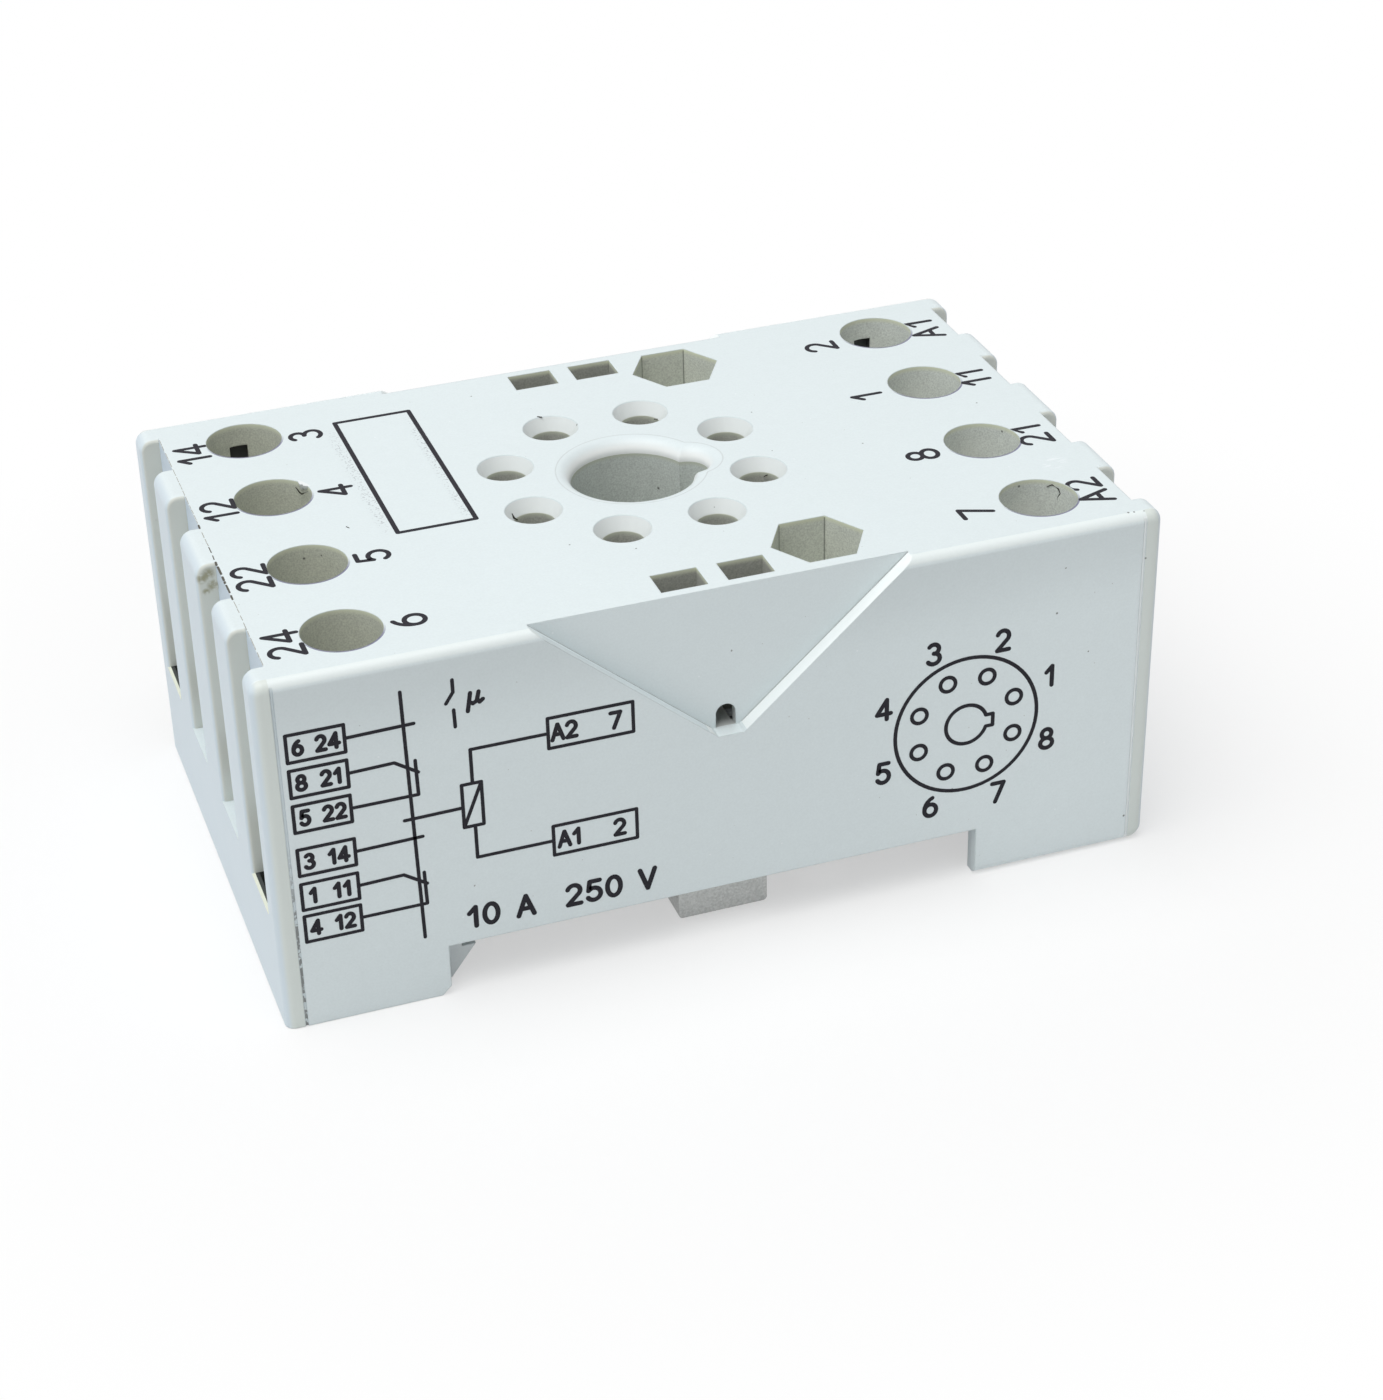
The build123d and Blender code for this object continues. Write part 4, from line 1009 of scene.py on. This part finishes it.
def bore_burr():
    """A small burr that hangs from the rim of one access bore."""
    centre = node_middle("terminal_screw_4")
    radius = BURR_RADIUS * MM
    top = Vector((centre.x, centre.y, body_high.z + BURR_LIFT * MM))
    rings = []
    for k, (reach, drop) in enumerate(zip(BURR_REACHES, BURR_DROPS)):
        turn = math.radians(BURR_FROM + BURR_SPREAD * k / (len(BURR_REACHES) - 1))
        ray = Vector((math.cos(turn), math.sin(turn), 0))
        rings.append((
            top + ray * (radius + 0.12 * MM),
            top + ray * (radius - reach * MM),
            top + ray * (radius - 0.7 * reach * MM) - Vector((0, 0, drop * MM)),
            top + ray * (radius + 0.05 * MM) - Vector((0, 0, drop * MM + 0.15 * MM)),
        ))
    mesh = bmesh.new()
    skin(mesh, rings)
    bmesh.ops.recalc_face_normals(mesh, faces=mesh.faces)
    return mesh


KEY_SIZE, KEY_COLOUR = (0.7, 0.7), (1.0, 0.995, 0.985)
SIDE_SIZE, SIDE_COLOUR = (0.4, 0.3), (0.55, 0.78, 1.0)
SKY_COLOUR, WHITE = (0.95, 0.98, 1.0, 1), (1, 1, 1, 1)
FLOOR_RADIUS, FLOOR_DROP, FLOOR_TONE = 3.0, 0.05 * MM, (0.87, 0.87, 0.87, 1)
# How white the floor is seen near the object, and where it turns all white, in millimetres.
NEAR_WHITE, WHITE_FADE = 0.52, (32.0, 78.0)
# The dark area beneath the object: along each axis, where it starts to fade and where it ends.
BENEATH = (("X", 26.0, 30.0), ("Y", 11.0, 14.0))


class SOCKET_OT_stage(bpy.types.Operator):
    """Set up the floor, the soft lamps and the camera"""

    bl_idname = "socket.stage"
    bl_label = "Stage"

    def execute(self, context):
        settings = context.scene.socket_stage
        make_floor()
        make_sky(settings.sky)
        soft_lamp("key_lamp", settings.key_place, KEY_SIZE, settings.key, KEY_COLOUR)
        soft_lamp("side_lamp", settings.side_place, SIDE_SIZE, settings.side, SIDE_COLOUR)
        make_camera(settings)
        context.scene.view_settings.view_transform = "Standard"
        return {"FINISHED"}


def make_floor():
    """A pale floor that fades to the white surroundings away from the object, and is dark beneath it."""
    mesh = bmesh.new()
    bmesh.ops.create_circle(mesh, cap_ends=True, segments=96, radius=FLOOR_RADIUS)
    floor = mesh_object("floor", mesh)
    floor.location.z = -FLOOR_DROP
    finish = Finish("floor_white")
    away = finish.node("ShaderNodeVectorMath", {"operation": "LENGTH"}, (finish.place(),), out="Value")
    diffuse = finish.node("ShaderNodeBsdfDiffuse", sockets={"Color": FLOOR_TONE})
    white = finish.node("ShaderNodeEmission", sockets={"Color": WHITE, "Strength": 1.0})
    beneath = 1.0
    for axis, inner, outer in BENEATH:
        beneath = beneath * (1 - finish.step(abs(finish.along(axis)), inner, outer))
    whiter = NEAR_WHITE + (1 - NEAR_WHITE) * finish.step(away, *WHITE_FADE)
    seen = seen_rays(finish, "Transmission") * (1 - beneath) * whiter
    paint(floor, finish.close(finish.node("ShaderNodeMixShader", sockets=(seen, diffuse, white))))


def seen_rays(finish, *others):
    """1 for rays from the camera, for what gloss shows and for other kinds of rays, and 0 for light."""
    seen = finish.node("ShaderNodeLightPath", out="Is Camera Ray")
    for kind in ("Glossy", *others):
        seen = seen | finish.node("ShaderNodeLightPath", out=f"Is {kind} Ray")
    return seen


def make_sky(strength):
    """White surroundings that light the object only at a plain level."""
    sky = Finish("surroundings", world=True)
    light = sky.node("ShaderNodeBackground", sockets={"Color": SKY_COLOUR, "Strength": strength})
    shown = sky.node("ShaderNodeBackground", sockets={"Color": WHITE, "Strength": 1.0})
    mixed = sky.node("ShaderNodeMixShader", sockets=(seen_rays(sky), light, shown))
    bpy.context.scene.world = sky.close(mixed)


def soft_lamp(name, place, size, power, colour):
    """A large rectangular lamp that faces the object."""
    lamp = bpy.data.lights.new(name, "AREA")
    lamp.shape = "RECTANGLE"
    lamp.size, lamp.size_y = size
    lamp.energy = power
    lamp.color = colour
    holder = linked(name, lamp)
    holder.location = place
    aim = node_middle("housing") - Vector(place)
    holder.rotation_euler = aim.to_track_quat("-Z", "Y").to_euler()


def make_camera(settings):
    """The camera at the photograph's angle."""
    camera = bpy.data.cameras.new("camera")
    camera.lens = settings.lens
    camera.clip_start = 0.01
    camera.dof.use_dof = False
    holder = linked("camera", camera)
    azimuth, elevation = settings.azimuth, settings.elevation
    flat = math.cos(elevation)
    ahead = Vector((math.sin(azimuth) * flat, math.cos(azimuth) * flat, -math.sin(elevation)))
    facing = ahead.to_track_quat("-Z", "Y").to_matrix().to_4x4()
    turn = Matrix.Rotation(settings.roll, 4, ahead)
    place = Vector(settings.target) - ahead * settings.distance
    holder.matrix_world = Matrix.Translation(place) @ turn @ facing
    bpy.context.scene.camera = holder


class SOCKET_PT_panel(bpy.types.Panel):
    """Steps and settings of the relay socket's looks"""

    bl_label = "Relay Socket"
    bl_idname = "SOCKET_PT_panel"
    bl_space_type = "VIEW_3D"
    bl_region_type = "UI"
    bl_category = "Relay Socket"

    def draw(self, context):
        scene = context.scene
        for operator in OPERATORS:
            self.layout.operator(operator.bl_idname)
        for group in (scene.socket_plastic, scene.socket_metal, scene.socket_print, scene.socket_stage):
            box = self.layout.box()
            for name in group.__annotations__:
                box.prop(group, name)


OPERATORS = (
    SOCKET_OT_plastic,
    SOCKET_OT_metal,
    SOCKET_OT_numbers,
    SOCKET_OT_diagram,
    SOCKET_OT_wear,
    SOCKET_OT_stage,
)
GROUPS = {
    "socket_plastic": PlasticSettings,
    "socket_metal": MetalSettings,
    "socket_print": PrintSettings,
    "socket_stage": StageSettings,
}
CLASSES = (*GROUPS.values(), *OPERATORS, SOCKET_PT_panel)


def register():
    for listed in CLASSES:
        bpy.utils.register_class(listed)
    for name, group in GROUPS.items():
        setattr(bpy.types.Scene, name, PointerProperty(type=group))


def unregister():
    for name in GROUPS:
        delattr(bpy.types.Scene, name)
    for listed in reversed(CLASSES):
        bpy.utils.unregister_class(listed)


def main():
    register()
    for operator in OPERATORS:
        section, action = operator.bl_idname.split(".")
        getattr(getattr(bpy.ops, section), action)()


if __name__ == "__main__":
    main()
